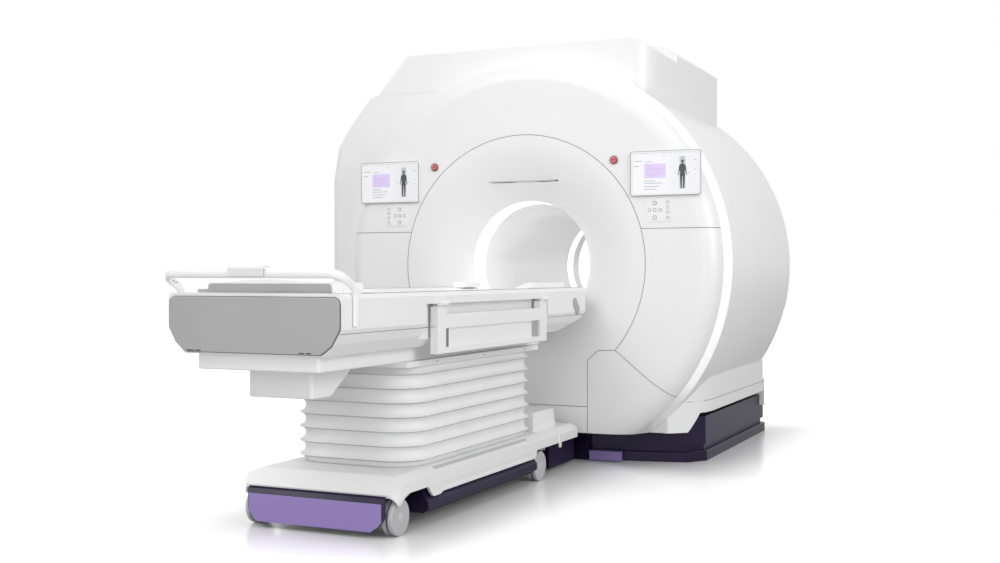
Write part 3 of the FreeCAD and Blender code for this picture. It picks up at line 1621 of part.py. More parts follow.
def end_plate():
    """Painted plate across the foot of the base, with bevelled sides and top."""
    body = new_body("base_end_plate")
    outline = mirror_outline([(d.end_plate_toe_x, d.end_plate_bottom),
                              (d.end_plate_knee_x, d.end_plate_knee_z2),
                              (d.end_plate_half, d.end_plate_knee_z), (d.end_plate_half, d.nose_bottom)])
    front = -d.end_plate_y
    back = front + d.end_plate_thick
    pad_xz(body, [outline], front, back)
    over = d.overrun
    half = d.end_plate_half + over
    cut_yz(body, [[(front - over, d.end_plate_top), (front, d.end_plate_top), (back, d.nose_bottom),
                   (back, d.nose_bottom + over), (front - over, d.nose_bottom + over)]], -half, half)
    for side in (1, -1):
        cut_xy(body, [[(side * (d.end_plate_half - d.end_plate_side), front - over),
                       (side * (d.end_plate_half - d.end_plate_side), front),
                       (side * d.end_plate_half, back - over), (side * half, back - over),
                       (side * half, front - over)]], d.end_plate_bottom - over, d.nose_bottom + over)
    return node(body)


def skirt_outline():
    """Side view (y, z) of the cover's skirt between the wheels."""
    y0 = well_edge(d.front_swivel_y, 1)
    y1 = well_edge(d.rear_swivel_y, -1)
    top = d.arch_top - d.fit_gap
    return [(y0 + d.skirt_toe, d.skirt_lip), (y0 + d.skirt_heel, d.skirt_lip),
            (y0 + d.skirt_heel + d.skirt_edge, d.skirt_bottom_z), (y1 - d.skirt_rake, d.skirt_bottom_z),
            (y1, top), (y0, top), (y0 + d.skirt_rake, d.skirt_bottom_z + d.skirt_lip / 10)]


def base_cover():
    """White cover over the frame: a long low lid, with a skirt between the wheels on each side."""
    half, flat = d.cover_half, d.cover_flat_half
    y0, y1 = -d.cover_y0, -d.cover_y1
    wall = d.table_wall
    over = d.overrun
    lid = new_body("cover_lid")
    section = mirror_outline([(half, d.nose_bottom), (half, d.cover_side_top), (flat, d.cover_top)])
    pad_xz(lid, [section], y0, y1)
    soften(lid, edges_along(lid.Tip.Shape, "Z", [(half, y0), (-half, y0), (half, y1), (-half, y1)]),
           d.cover_edge)
    nose = y0 + d.nose_length
    cut_yz(lid, [[(y0 - over, d.nose_top), (y0, d.nose_top), (nose, d.cover_top), (nose, d.hump_top),
                  (y0 - over, d.hump_top)]], -half - over, half + over)
    # hump over the dock end
    hump = -d.bellows_y1 + d.hump_gap
    pad_yz(lid, [[(hump, d.cover_side_top), (-d.hump_y1, d.cover_side_top),
                  (-d.hump_y1 - d.cover_edge, d.hump_top), (hump, d.hump_top)]],
           -d.hump_half, d.hump_half)
    # open underside, cleared over the wheels
    cut_xy(lid, [rectangle(-half - over, nose_back(), half + over, y1 + over)], d.nose_bottom - over,
           d.arch_top)
    inner = mirror_outline([(half - wall, d.arch_top - over), (half - wall, d.cover_side_top - wall),
                            (flat - wall, d.cover_top - 2 * wall)])
    cut_xz(lid, [inner], nose_back(), y1 - 2 * wall)
    # way up for the lift column
    y = -d.column_y
    hx, hy = d.column_half_x + d.column_gap, d.column_half_y + d.column_gap
    cut_xy(lid, [rectangle(-hx, y - hy, hx, y + hy)], d.arch_top, d.cover_top + over)
    # the tail lies over the dock unit
    tail = chassis_near() - wall
    cut_xz(lid, [rectangle(-d.dock_unit_half - wall, 0, d.dock_unit_half + wall, d.dock_unit_top + d.fit_gap)],
           tail, y1 + over)
    skirt = new_body("cover_skirt_right")
    pad_yz(skirt, [skirt_outline()], half - wall, half)
    band_y0 = well_edge(d.front_swivel_y, 1) + d.band_inset
    band_y1 = well_edge(d.rear_swivel_y, -1) - d.skirt_heel
    cut_yz(skirt, [rectangle(band_y0, d.band_bottom, band_y1, d.band_top)], half - d.band_depth, half + over)
    return node(group("base_cover", [lid, skirt, mirrored("cover_skirt_left", skirt)]))


def caster(x, swivel_y, tag):
    """A swivelling fork between the two discs of its wheel."""
    gap = d.fit_gap
    wheel_y = swivel_y - d.wheel_trail
    wheel_z = d.wheel_radius
    fork = new_body("caster_fork_" + tag)
    t = d.fork_thick / 2
    head_z0 = d.deck_bottom - d.fork_head_thick
    neck = d.fork_neck
    neck_top = head_z0 + d.fork_neck_height
    hub = 2 * d.axle_radius
    pad_yz(fork, [[(wheel_y - hub, wheel_z), (wheel_y, wheel_z - hub, hub),
                   (wheel_y + hub, wheel_z, hub), (swivel_y + neck, head_z0),
                   (swivel_y + neck, neck_top), (swivel_y - neck, neck_top), (swivel_y - neck, head_z0)]],
           x - t, x + t)
    pad_xy(fork, [Circle(x, swivel_y, d.fork_head_radius)], head_z0, d.deck_bottom)
    pad_xy(fork, [Circle(x, swivel_y, d.fork_stem_radius)], d.deck_bottom,
           d.deck_bottom + d.fork_stem_length)
    cut_yz(fork, [Circle(wheel_y, wheel_z, d.axle_radius + gap)], x - t - d.overrun, x + t + d.overrun)
    node(fork)
    wheel = new_body("caster_wheel_" + tag)
    inside = d.wheel_gap / 2
    outside = inside + d.wheel_width
    r = d.wheel_radius
    edge = d.wheel_width / 3
    for a, b in ((x + inside, x + outside), (x - outside, x - inside)):
        pad_yz(wheel, [Circle(wheel_y, wheel_z, r)], a, b)
    pad_yz(wheel, [Circle(wheel_y, wheel_z, d.axle_radius)], x - inside, x + inside)
    names = (edges_in_plane(wheel.Tip.Shape, "X", x + outside)
             + edges_in_plane(wheel.Tip.Shape, "X", x - outside))
    soften(wheel, names, edge)
    node(wheel)


def casters():
    for side, left_right in ((1, "right"), (-1, "left")):
        for swivel, end in ((d.front_swivel_y, "foot"), (d.rear_swivel_y, "head")):
            caster(side * d.wheel_x, -swivel, "%s_%s" % (end, left_right))


# ---------------------------------------------------------------- the whole scanner

def build():
    magnet()
    magnet_feet()
    cold_head()
    bore_bridge()
    light_rings()
    front_panels()
    rim_ring()
    cover_frames()
    displays()
    stop_buttons()
    side_cover_right()
    side_skirts()
    side_cover_left()
    top_covers()
    rear_cover()
    magnet_base()
    docking()
    table_shells()
    end_panel()
    side_buttons()
    side_rails()
    push_handle()
    release_lever()
    cradle_parts()
    lift_parts()
    bellows()
    base_chassis()
    end_plate()
    base_cover()
    casters()
    doc.recompute()


def check():
    for thing in doc.Objects:
        if "Invalid" in thing.State or "Error" in thing.State:
            raise ValueError("%s (%s) failed: %s" % (thing.Name, thing.Label, thing.State))
    for thing in NODES:
        if thing.Shape.isNull() or not thing.Shape.isValid() or not thing.Shape.Solids:
            raise ValueError("%s has no valid solid" % thing.Label)


build()
check()
os.makedirs("parts", exist_ok=True)
for thing in NODES:
    thing.Shape.exportStep("parts/%s.step" % thing.Label)
print(len(NODES), "sub-parts")
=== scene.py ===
import math

import bmesh
import bpy
from bpy.props import FloatProperty, FloatVectorProperty, IntProperty, PointerProperty
from mathutils import Matrix, Vector


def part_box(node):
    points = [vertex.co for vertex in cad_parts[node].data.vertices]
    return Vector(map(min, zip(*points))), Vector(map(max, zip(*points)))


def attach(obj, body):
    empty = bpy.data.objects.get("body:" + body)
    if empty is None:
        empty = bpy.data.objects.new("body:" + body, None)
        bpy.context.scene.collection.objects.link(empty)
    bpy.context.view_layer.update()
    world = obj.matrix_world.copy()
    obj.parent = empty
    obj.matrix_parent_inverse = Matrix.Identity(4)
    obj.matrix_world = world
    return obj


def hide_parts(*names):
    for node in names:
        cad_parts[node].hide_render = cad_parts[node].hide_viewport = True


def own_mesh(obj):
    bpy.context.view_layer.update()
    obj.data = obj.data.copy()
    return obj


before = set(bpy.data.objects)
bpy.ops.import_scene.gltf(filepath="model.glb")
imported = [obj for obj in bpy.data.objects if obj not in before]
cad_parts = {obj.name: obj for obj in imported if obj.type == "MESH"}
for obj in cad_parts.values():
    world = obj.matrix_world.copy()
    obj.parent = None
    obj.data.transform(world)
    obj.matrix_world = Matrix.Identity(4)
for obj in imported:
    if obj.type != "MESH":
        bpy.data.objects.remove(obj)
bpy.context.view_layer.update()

bl_info = {
    "name": "Magnetic resonance scanner",
    "version": (1, 0, 0),
    "blender": (4, 5, 0),
    "location": "View3D > Sidebar > Scanner",
    "description": "Finishes and fittings of a whole-body magnetic resonance scanner with a docked table",
    "category": "Add Mesh",
}

# The isocentre on the bore's axis, and the turned face about that axis: its plane, radii and depths.
ISO = Vector((0.0, 0.0, 1.102))
FACE_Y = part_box("front_upper_cover")[0].y
REAR_Y = -FACE_Y
MOUTH_RADIUS = 0.361
MOUTH_DEPTH = 0.136
DISH_RADIUS = 0.700
DISC_RADIUS = 0.724
BEVEL_START = 1.030
BEVEL_END = 1.130
BEVEL_ROUND = 0.1025

# Smooth shading breaks at edges that are sharper than this.
SHARP_ANGLE = math.radians(35)
WHITE = (1.0, 1.0, 1.0, 1.0)
CASTERS = ("foot_right", "foot_left", "head_right", "head_left")


# ---------------------------------------------------------------- colours and nodes

def linear(code):
    """Turns an sRGB hex colour into the linear values that Blender's sockets take."""
    channels = [int(code[i:i + 2], 16) / 255 for i in (1, 3, 5)]
    return tuple(c / 12.92 if c <= 0.04045 else ((c + 0.055) / 1.055) ** 2.4 for c in channels)


def opaque(colour):
    """The value of a colour socket, from a hex colour or one of the panel's linear colours."""
    return (linear(colour) if isinstance(colour, str) else tuple(colour)) + (1.0,)


def feed(tree, node, inputs):
    """Sets inputs of a node; each takes a value or the socket that feeds it."""
    for name, value in inputs.items():
        if isinstance(value, bpy.types.NodeSocket):
            tree.links.new(value, node.inputs[name])
        else:
            node.inputs[name].default_value = value


def add_node(tree, kind, inputs=None, **settings):
    """Adds a node with its settings and its inputs."""
    node = tree.nodes.new(kind)
    for name, value in settings.items():
        setattr(node, name, value)
    feed(tree, node, inputs or {})
    return node


def new_finish(name, colour, roughness, metallic=0.0):
    """A material whose shader has these constants; patterns are linked on top of them."""
    material = bpy.data.materials.new(name)
    material.use_nodes = True
    material.diffuse_color = opaque(colour)
    tree = material.node_tree
    shader = tree.nodes["Principled BSDF"]
    feed(tree, shader, {"Base Color": opaque(colour), "Roughness": roughness, "Metallic": metallic})
    return material, tree, shader


def grained(name, colour, light, dark, size, amount, depth, roughness, others=None, metallic=0.0):
    """A moulded or painted surface: a cloudy change from light to dark, and a fine relief.

    size is the width of the relief's grains and depth its height, in metres; the roughness changes by the
    amount. others are further constants of the shader."""
    material, tree, shader = new_finish(name, colour, roughness, metallic)
    place = add_node(tree, "ShaderNodeTexCoord").outputs["Object"]
    cloud = add_node(tree, "ShaderNodeTexNoise",
                     {"Vector": place, "Scale": 2.5, "Detail": 3.0, "Roughness": 0.55}).outputs["Fac"]
    tint = add_node(tree, "ShaderNodeMix", {"Factor": cloud, 6: opaque(light), 7: opaque(dark)},
                    data_type="RGBA").outputs[2]
    grain = add_node(tree, "ShaderNodeTexNoise",
                     {"Vector": place, "Scale": 1.0 / size, "Detail": 2.0, "Roughness": 0.5}).outputs["Fac"]
    gloss = add_node(tree, "ShaderNodeMapRange",
                     {"Value": grain, "To Min": roughness - amount, "To Max": roughness + amount})
    bump = add_node(tree, "ShaderNodeBump", {"Strength": 0.6, "Distance": depth, "Height": grain})
    feed(tree, shader, {"Base Color": tint, "Roughness": gloss.outputs["Result"],
                        "Normal": bump.outputs["Normal"]})
    feed(tree, shader, others or {})
    return material


# ---------------------------------------------------------------- finishes

# The finishes made so far, by their short names in MAKERS.
FINISHES = {}


def finish(name):
    """Makes each finish once and hands it out again."""
    if name not in FINISHES:
        FINISHES[name] = MAKERS[name](bpy.context.scene.scanner_colours)
    return FINISHES[name]


def painted_cover(colours):
    """Polyurethane covers, sprayed white: a satin skin with the faint ripple that spraying leaves."""
    # The real ripple is about 2 mm wide; it is drawn 9 mm wide so that it shows.
    return grained("sprayed polyurethane cover", colours.cover, colours.cover, "#EBEBEB",
                   0.009, 0.03, 0.00008, 0.36, {"Coat Weight": 0.12, "Coat Roughness": 0.18})


def cover_with_painted_shade(colours):
    """The same sprayed skin with painted shade: darker colours for a panel low on the face."""
    return grained("sprayed polyurethane, painted shade", colours.cover, "#E6E6E6", "#E1E1E1",
                   0.009, 0.03, 0.00008, 0.4)


def rim_with_painted_glow(colours):
    """Opal acrylic rim, evenly white and only faintly glossy; its faint glow is painted light that brightens
    it.
    """
    material = grained("opal acrylic rim with painted glow", "#FBFBFB", "#FCFCFC", "#F8F8F8", 0.02, 0.02, 0.00004, 0.25,
                       {"Emission Color": WHITE})
    tree = material.node_tree
    # The painted glow fades out towards the rim's foot, above the service panels, which leaves the foot
    # darker as painted shade.
    place = add_node(tree, "ShaderNodeTexCoord").outputs["Object"]
    height = add_node(tree, "ShaderNodeSeparateXYZ", {"Vector": place}).outputs["Z"]
    glow = add_node(tree, "ShaderNodeMapRange", {"Value": height, "From Min": 0.34, "From Max": 0.46,
                                                 "To Min": 0.0, "To Max": 0.25})
    feed(tree, tree.nodes["Principled BSDF"], {"Emission Strength": glow.outputs["Result"]})
    return material


def lit_diffuser(colours):
    """Opal acrylic light ring of the bore: the lamp behind it makes it glow."""
    material, tree, shader = new_finish("opal acrylic light ring", "#FFFFFF", 0.3)
    place = add_node(tree, "ShaderNodeTexCoord").outputs["Object"]
    # The diodes behind it stand 70 mm apart and show as a slow swell of its light.
    cloud = add_node(tree, "ShaderNodeTexNoise", {"Vector": place, "Scale": 14.0, "Detail": 2.0})
    glow = add_node(tree, "ShaderNodeMapRange",
                    {"Value": cloud.outputs["Fac"], "To Min": 0.60, "To Max": 0.70})
    feed(tree, shader, {"Emission Color": WHITE, "Emission Strength": glow.outputs["Result"]})
    return material


def bore_gelcoat(colours):
    """Glass-fibre liner of the bore under a glossy gel coat, with the faint ripple of the laminate."""
    return grained("gel coat", "#EEEEEE", "#EFEFEF", "#EAEAEA", 0.012, 0.03, 0.00005, 0.22,
                   {"Coat Weight": 0.3})


def moulded_gloss(colours):
    """Injection-moulded ABS in bright white, smooth from a polished mould."""
    return grained("moulded ABS white", "#F2F2F2", "#F3F3F3", "#EEEEEE", 0.006, 0.03, 0.00004, 0.22)


def moulded_table(colours):
    """Thick moulded table shell: satin, with a fine spark-eroded texture."""
    # The texture's pits are 0.3 mm wide; they are drawn 3 mm wide so that they show.
    return grained("moulded table shell", colours.cover, "#F0F0F0", "#EAEAEA", 0.003, 0.05, 0.00006, 0.42)


def grey_moulding(colours):
    """Mid-grey moulded ABS, matt, slightly clouded by the flow of the melt."""
    return grained("moulded ABS grey", colours.grey, "#ADADAD", "#A5A5A5", 0.004, 0.06, 0.00008, 0.5)


def pale_grey_moulding(colours):
    """Pale grey moulded ABS of ledges and buttons."""
    return grained("moulded ABS pale grey", "#C2C2C2", "#C6C6C6", "#BDBDBD", 0.004, 0.05, 0.00006, 0.45)


def paddle_moulding(colours):
    """Off-white moulded ABS of the release, a little greyer than the handle as painted shade."""
    return grained("moulded ABS off-white", "#E2E2E2", "#E4E4E4", "#DDDDDD", 0.004, 0.04, 0.00004, 0.35)


def violet_enamel(colours, colour, other, roughness, name, bevel_y=None):
    """Metallic enamel: fine flakes under a clear coat; with bevel_y, all behind that plane is dark."""
    # The flakes are 0.1 mm wide; they are drawn 2.5 mm wide so that they show as a faint sparkle.
    material, tree, shader = new_finish(name, colour, roughness, metallic=0.25)
    place = add_node(tree, "ShaderNodeTexCoord").outputs["Object"]
    flakes = add_node(tree, "ShaderNodeTexVoronoi", {"Vector": place, "Scale": 400.0}).outputs["Distance"]
    cloud = add_node(tree, "ShaderNodeTexNoise", {"Vector": place, "Scale": 3.0, "Detail": 2.0})
    blend = add_node(tree, "ShaderNodeMath", {0: flakes, 1: cloud.outputs["Fac"]}, operation="MULTIPLY")
    tint = add_node(tree, "ShaderNodeMix",
                    {"Factor": blend.outputs["Value"], 6: opaque(colour), 7: opaque(other)},
                    data_type="RGBA").outputs[2]
    if bevel_y is not None:
        depth = add_node(tree, "ShaderNodeSeparateXYZ", {"Vector": place}).outputs["Y"]
        behind = add_node(tree, "ShaderNodeMath", {0: depth, 1: bevel_y}, operation="GREATER_THAN")
        tint = add_node(tree, "ShaderNodeMix",
                        {"Factor": behind.outputs["Value"], 6: tint, 7: opaque(colours.dark_violet)},
                        data_type="RGBA").outputs[2]
    bump = add_node(tree, "ShaderNodeBump", {"Strength": 0.3, "Distance": 0.00004, "Height": flakes})
    feed(tree, shader, {"Base Color": tint, "Normal": bump.outputs["Normal"], "Coat Weight": 0.1,
                        "Coat Roughness": 0.2})
    return material


def violet_plate(colours):
    """Violet metallic enamel of the plates."""
    return violet_enamel(colours, colours.violet, "#A08BC6", 0.42, "violet metallic enamel")


def end_plate_enamel(colours):
    """Violet metallic enamel on the end plate's face; behind the face, on its bevels, it is dark."""
    bevel_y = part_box("base_end_plate")[0].y + 0.0006
    return violet_enamel(colours, colours.violet, "#A793CB", 0.42, "violet metallic enamel, dark bevels",
                         bevel_y)


def dark_violet(colours):
    """Deep violet metallic enamel of the bases."""
    material = violet_enamel(colours, colours.dark_violet, "#312948", 0.40,
                             "dark violet metallic enamel")
    tree = material.node_tree
    feed(tree, tree.nodes["Principled BSDF"], {"Specular IOR Level": 0.16})
    return material


def vessel_paint(colours):
    """Two-pack paint on the steel vessel, with roller texture."""
    return grained("two-pack steel paint", "#BFC2C7", "#C2C5CA", "#B4B8BE", 0.012, 0.06, 0.0003, 0.45)


def coil_resin(colours):
    """Cast epoxy round the windings, amber and slightly mottled."""
    return grained("cast epoxy", "#8C6A42", "#94714A", "#7C5B38", 0.02, 0.08, 0.0004, 0.4)


def frame_powder(colours):
    """Powder coat on folded steel, with its pebbled skin."""
    return grained("powder-coated steel", "#5D5A62", "#625F68", "#55525B", 0.003, 0.06, 0.0002, 0.5)


def fork_zinc(colours):
    """Zinc-plated pressed steel: pale metal with a cloudy passivated bloom."""
    return grained("zinc-plated steel", "#9C9CA3", "#A5A5AB", "#8B8C94",
                   0.006, 0.08, 0.00006, 0.38, metallic=0.9)


def column_anodised(colours):
    """Anodised aluminium profile, brushed along its length."""
    material, tree, shader = new_finish("anodised aluminium", "#C3C5C9", 0.32, metallic=1.0)
    place = add_node(tree, "ShaderNodeTexCoord").outputs["Object"]
    # Brush lines 1 mm wide run along Z.
    lines = add_node(tree, "ShaderNodeMapping", {"Vector": place, "Scale": (900.0, 900.0, 8.0)})
    brush = add_node(tree, "ShaderNodeTexNoise",
                     {"Vector": lines.outputs["Vector"], "Scale": 1.0, "Detail": 2.0})
    gloss = add_node(tree, "ShaderNodeMapRange",
                     {"Value": brush.outputs["Fac"], "To Min": 0.24, "To Max": 0.42})
    feed(tree, shader, {"Roughness": gloss.outputs["Result"]})
    return material


def bellows_elastomer(colours):
    """White coated fabric of the sleeve: a soft matt skin over a plain weave."""
    # The weave's threads are 1 mm apart; they are drawn 4 mm apart so that they show.
    material, tree, shader = new_finish("coated fabric white", colours.bellows, 0.55)
    place = add_node(tree, "ShaderNodeTexCoord").outputs["Object"]
    cloud = add_node(tree, "ShaderNodeTexNoise", {"Vector": place, "Scale": 5.0, "Detail": 3.0})
    tint = add_node(tree, "ShaderNodeMix",
                    {"Factor": cloud.outputs["Fac"], 6: opaque("#F2F2F2"), 7: opaque("#E6E6E6")},
                    data_type="RGBA").outputs[2]
    # Painted shade: the fold under each ridge is darkened where shade falls; pleats are counted along Z.
    low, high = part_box("bellows")
    pleats = bpy.context.scene.scanner_sizes.pleats
    height = add_node(tree, "ShaderNodeSeparateXYZ", {"Vector": place}).outputs["Z"]
    count = add_node(tree, "ShaderNodeMapRange", {"Value": height, "From Min": low.z, "From Max": high.z,
                                                  "To Min": 0.5, "To Max": pleats + 0.5}).outputs["Result"]
    share = add_node(tree, "ShaderNodeMath", {0: count}, operation="FRACT").outputs["Value"]
    fold_shade = add_node(tree, "ShaderNodeMapRange", {"Value": share, "From Min": 0.86, "From Max": 0.96,
                                                 "To Max": 0.62}).outputs["Result"]
    tint = add_node(tree, "ShaderNodeMix", {"Factor": fold_shade, 6: tint, 7: opaque("#6E6E70")},
                    data_type="RGBA").outputs[2]
    turn = add_node(tree, "ShaderNodeMapping", {"Vector": place, "Rotation": (0.6, 0.7, 0.4)})
    weave = add_node(tree, "ShaderNodeTexWave",
                     {"Vector": turn.outputs["Vector"], "Scale": 40.0, "Distortion": 0.4}, wave_type="BANDS")
    bump = add_node(tree, "ShaderNodeBump",
                    {"Strength": 0.25, "Distance": 0.0002, "Height": weave.outputs["Fac"]})
    feed(tree, shader, {"Base Color": tint, "Normal": bump.outputs["Normal"], "Sheen Weight": 0.15,
                        "Sheen Roughness": 0.5})
    return material


def wheel_tread(colours):
    """Cast polyurethane wheels, pale grey, duller where they are worn."""
    return grained("cast polyurethane grey", "#C2C2C4", "#C8C8CA", "#B4B4B7", 0.005, 0.08, 0.0001, 0.48)


def wheel_cap(colours):
    """Moulded polyamide hub caps, light grey."""
    return grained("moulded polyamide grey", "#C9C9CA", "#CCCCCD", "#C3C3C5", 0.003, 0.05, 0.00004, 0.35)


def red_cap(colours):
    """Red moulded polycarbonate cap: smooth, with a soft gloss."""
    return grained("moulded polycarbonate red", colours.stop, colours.stop, "#A8303A",
                   0.004, 0.04, 0.00003, 0.3, {"Coat Weight": 0.4})


def cap_print(colours):
    """Pale pad print on the red caps."""
    return grained("pad print pale", "#F0D8DA", "#F2DCDE", "#E9CCD0", 0.003, 0.04, 0.00002, 0.5)


def seam_gasket(colours):
    """Grey rubber gasket at the bottom of the joints between covers."""
    return grained("rubber gasket grey", colours.seam, colours.seam, "#767678", 0.004, 0.06, 0.00005, 0.6)


def shadow_gap(colours):
    """Painted shade: a dark sheet for the shadow in a gap behind a panel's edge and inside slits."""
    return grained("painted shadow dark grey", "#3A3A40", "#3F3F45", "#303036", 0.004, 0.05, 0.0001, 0.8)


def lit_rows(tree, shader, colour, low, high):
    """Light of a display, from low to high strength; its rows of pixels are a faint ripple."""
    place = add_node(tree, "ShaderNodeTexCoord").outputs["Object"]
    # Pixel rows are 0.3 mm apart; they are drawn 3 mm apart so that they show.
    rows = add_node(tree, "ShaderNodeTexWave", {"Vector": place, "Scale": 50.0}, wave_type="BANDS",
                    bands_direction="Z")
    glow = add_node(tree, "ShaderNodeMapRange", {"Value": rows.outputs["Fac"], "To Min": low, "To Max": high})
    feed(tree, shader, {"Emission Color": opaque(colour), "Emission Strength": glow.outputs["Result"]})


def screen_glass(colours):
    """Lit display behind coated glass: even pale light and a weak gloss."""
    material, tree, shader = new_finish("lit display glass", "#EDEDF0", 0.14)
    lit_rows(tree, shader, "#F7F7FC", 0.08, 0.11)
    return material


def screen_ink(name, code, glow=0.12):
    """Lit area of one colour on the display."""
    material, tree, shader = new_finish(name, code, 0.3)
    lit_rows(tree, shader, code, glow, glow * 1.1)
    return material


MAKERS = {
    "cover": painted_cover,
    "panel": cover_with_painted_shade,
    "rim": rim_with_painted_glow,
    "light": lit_diffuser,
    "bore": bore_gelcoat,
    "gloss": moulded_gloss,
    "table": moulded_table,
    "grey": grey_moulding,
    "pale_grey": pale_grey_moulding,
    "paddle": paddle_moulding,
    "violet": violet_plate,
    "end_plate": end_plate_enamel,
    "dark_violet": dark_violet,
    "vessel": vessel_paint,
    "coil": coil_resin,
    "powder": frame_powder,
    "zinc": fork_zinc,
    "anodised": column_anodised,
    "bellows": bellows_elastomer,
    "tread": wheel_tread,
    "cap": wheel_cap,
    "red": red_cap,
    "print": cap_print,
    "gasket": seam_gasket,
    "gap": shadow_gap,
    "screen": screen_glass,
    "ink_violet": lambda colours: screen_ink("display area violet", "#D9C8EE"),
    "ink_panel": lambda colours: screen_ink("display area pale grey", "#E5E5E9"),
    "ink_line": lambda colours: screen_ink("display lines grey", "#ACACB6"),
    "ink_figure": lambda colours: screen_ink("display figure dark grey", "#4A4A50", 0.05),
    "ink_table": lambda colours: screen_ink("display table grey", "#BDBDC2"),
    "ink_key": lambda colours: screen_ink("key print grey", "#8E8E94", 0.02),
}


def coat(name, *nodes):
    """Gives CAD nodes a finish through their material slots."""
    for node in nodes:
        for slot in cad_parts[node].material_slots:
            slot.material = finish(name)


# ---------------------------------------------------------------- making pieces

def piece(name, bm, body, finish_name, smooth=True, recalculate=True):
    """Turns a bmesh into a named piece that rides on a body and takes a finish in its material slot."""
    if recalculate:
        bmesh.ops.recalc_face_normals(bm, faces=bm.faces)
    bm.normal_update()
    for face in bm.faces:
        face.smooth = smooth
    if smooth:
        for edge in bm.edges:
            edge.smooth = len(edge.link_faces) != 2 or edge.calc_face_angle(0.0) <= SHARP_ANGLE
    mesh = bpy.data.meshes.new(name)
    bm.to_mesh(mesh)
    bm.free()
    mesh.materials.append(finish(finish_name))
    thing = bpy.data.objects.new(name, mesh)
    bpy.context.scene.collection.objects.link(thing)
    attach(thing, body)
    return thing


def soften(thing, width, segments):
    """Rounds the edges of a piece."""
    edge = thing.modifiers.new("edge", "BEVEL")
    edge.width = width
    edge.segments = segments


def thicken(thing, thickness):
    """Gives a skin its wall, inwards."""
    wall = thing.modifiers.new("wall", "SOLIDIFY")
    wall.thickness = thickness
    wall.offset = -1.0


def arc_places(radius, start, stop, steps, centre):
    """Places along an arc in a plane; the angles are radians from the plane's first axis."""
    turns = [start + (stop - start) * i / steps for i in range(steps + 1)]
    return [(centre[0] + radius * math.cos(turn), centre[1] + radius * math.sin(turn)) for turn in turns]


def box_corners(x0, z0, x1, z1):
    """Outline of a rectangle."""
    return [(x0, z0), (x1, z0), (x1, z1), (x0, z1)]


def rounded_corners(x0, z0, x1, z1, radius, steps=4):
    """Outline of a rectangle with round corners."""
    left, right, low, high = x0 + radius, x1 - radius, z0 + radius, z1 - radius
    outline = []
    for quarter, centre in enumerate(((right, low), (right, high), (left, high), (left, low)), -1):
        start = math.pi / 2 * quarter
        outline += arc_places(radius, start, start + math.pi / 2, steps, centre)
    return outline


def bend(corners, radius, steps=6, closed=False):
    """Places along a line through corners (3-D), each inner corner rounded with the radius."""
    corners = [Vector(corner) for corner in corners]
    first, last = corners[0], corners[-1]
    run = [last] + corners + [first] if closed else corners
    places = []
    for before, corner, after in zip(run, run[1:], run[2:]):
        back, ahead = (before - corner).normalized(), (after - corner).normalized()
        half = back.angle(ahead) / 2
        centre = corner + (back + ahead).normalized() * radius / math.sin(half)
        start = (corner + back * radius / math.tan(half) - centre).normalized()
        stop = (corner + ahead * radius / math.tan(half) - centre).normalized()
        places += [centre + start.slerp(stop, i / steps) * radius for i in range(steps + 1)]
    return places if closed else [first] + places + [last]


def walk(corners, step):
    """Places about a step apart along the straight runs between corners (x, z)."""
    places = [corners[0]]
    for (x0, z0), (x1, z1) in zip(corners, corners[1:]):
        count = max(1, int(math.hypot(x1 - x0, z1 - z0) / step))
        places += [(x0 + (x1 - x0) * i / count, z0 + (z1 - z0) * i / count) for i in range(1, count + 1)]
    return places


def face_y(x, z):
    """Y of the front covers' surface at a place of the face."""
    r = math.hypot(x, z - ISO.z)
    y = FACE_Y
    if r > BEVEL_START:
        reach = min(r - BEVEL_START, BEVEL_ROUND * 0.999)
        y += BEVEL_ROUND - math.sqrt(BEVEL_ROUND ** 2 - reach ** 2)
    elif r < DISH_RADIUS:
        run = DISH_RADIUS - MOUTH_RADIUS
        arc = (run ** 2 + MOUTH_DEPTH ** 2) / (2 * MOUTH_DEPTH)
        reach = min(DISH_RADIUS - r, run)
        y += arc - math.sqrt(arc ** 2 - reach ** 2)
    return y


def tube_along(bm, places, radius, closed=False, sides=6, tall=1.0):
    """A bead along places; tall stretches its section upwards (backwards where it stands upright)."""
    places = [Vector(place) for place in places]
    count = len(places)
    loops = []
    for i, place in enumerate(places):
        before = places[i - 1] if i or closed else place
        after = places[(i + 1) % count] if i < count - 1 or closed else place
        ahead = (after - before).normalized()
        up = Vector((0, 1, 0)) if abs(ahead.z) > 0.999 else Vector((0, 0, 1))
        up = (up - ahead * up.dot(ahead)).normalized()
        turn = Matrix((up.cross(ahead), up * tall, ahead)).transposed().to_4x4()
        verts = bmesh.ops.create_circle(bm, segments=sides, radius=radius,
                                        matrix=Matrix.Translation(place) @ turn)["verts"]
        loops.append(list({edge for vert in verts for edge in vert.link_edges}))
    pairs = list(zip(loops, loops[1:])) + ([(loops[-1], loops[0])] if closed else [])
    for one, other in pairs:
        bmesh.ops.bridge_loops(bm, edges=one + other)
    if not closed:
        bmesh.ops.holes_fill(bm, edges=loops[0] + loops[-1], sides=sides)


def prism(bm, corners, offset):
    """A solid between a flat outline of corners (x, y, z) and the same outline moved by the offset."""
    base = bm.faces.new([bm.verts.new(corner) for corner in corners])
    made = bmesh.ops.extrude_face_region(bm, geom=[base])["geom"]
    bmesh.ops.translate(bm, vec=offset, verts=[item for item in made if isinstance(item, bmesh.types.BMVert)])


def plate(bm, outline, y, thick):
    """A flat plate of an outline (x, z) that stands thick in front of y."""
    prism(bm, [(x, y, z) for x, z in outline], (0, -thick, 0))


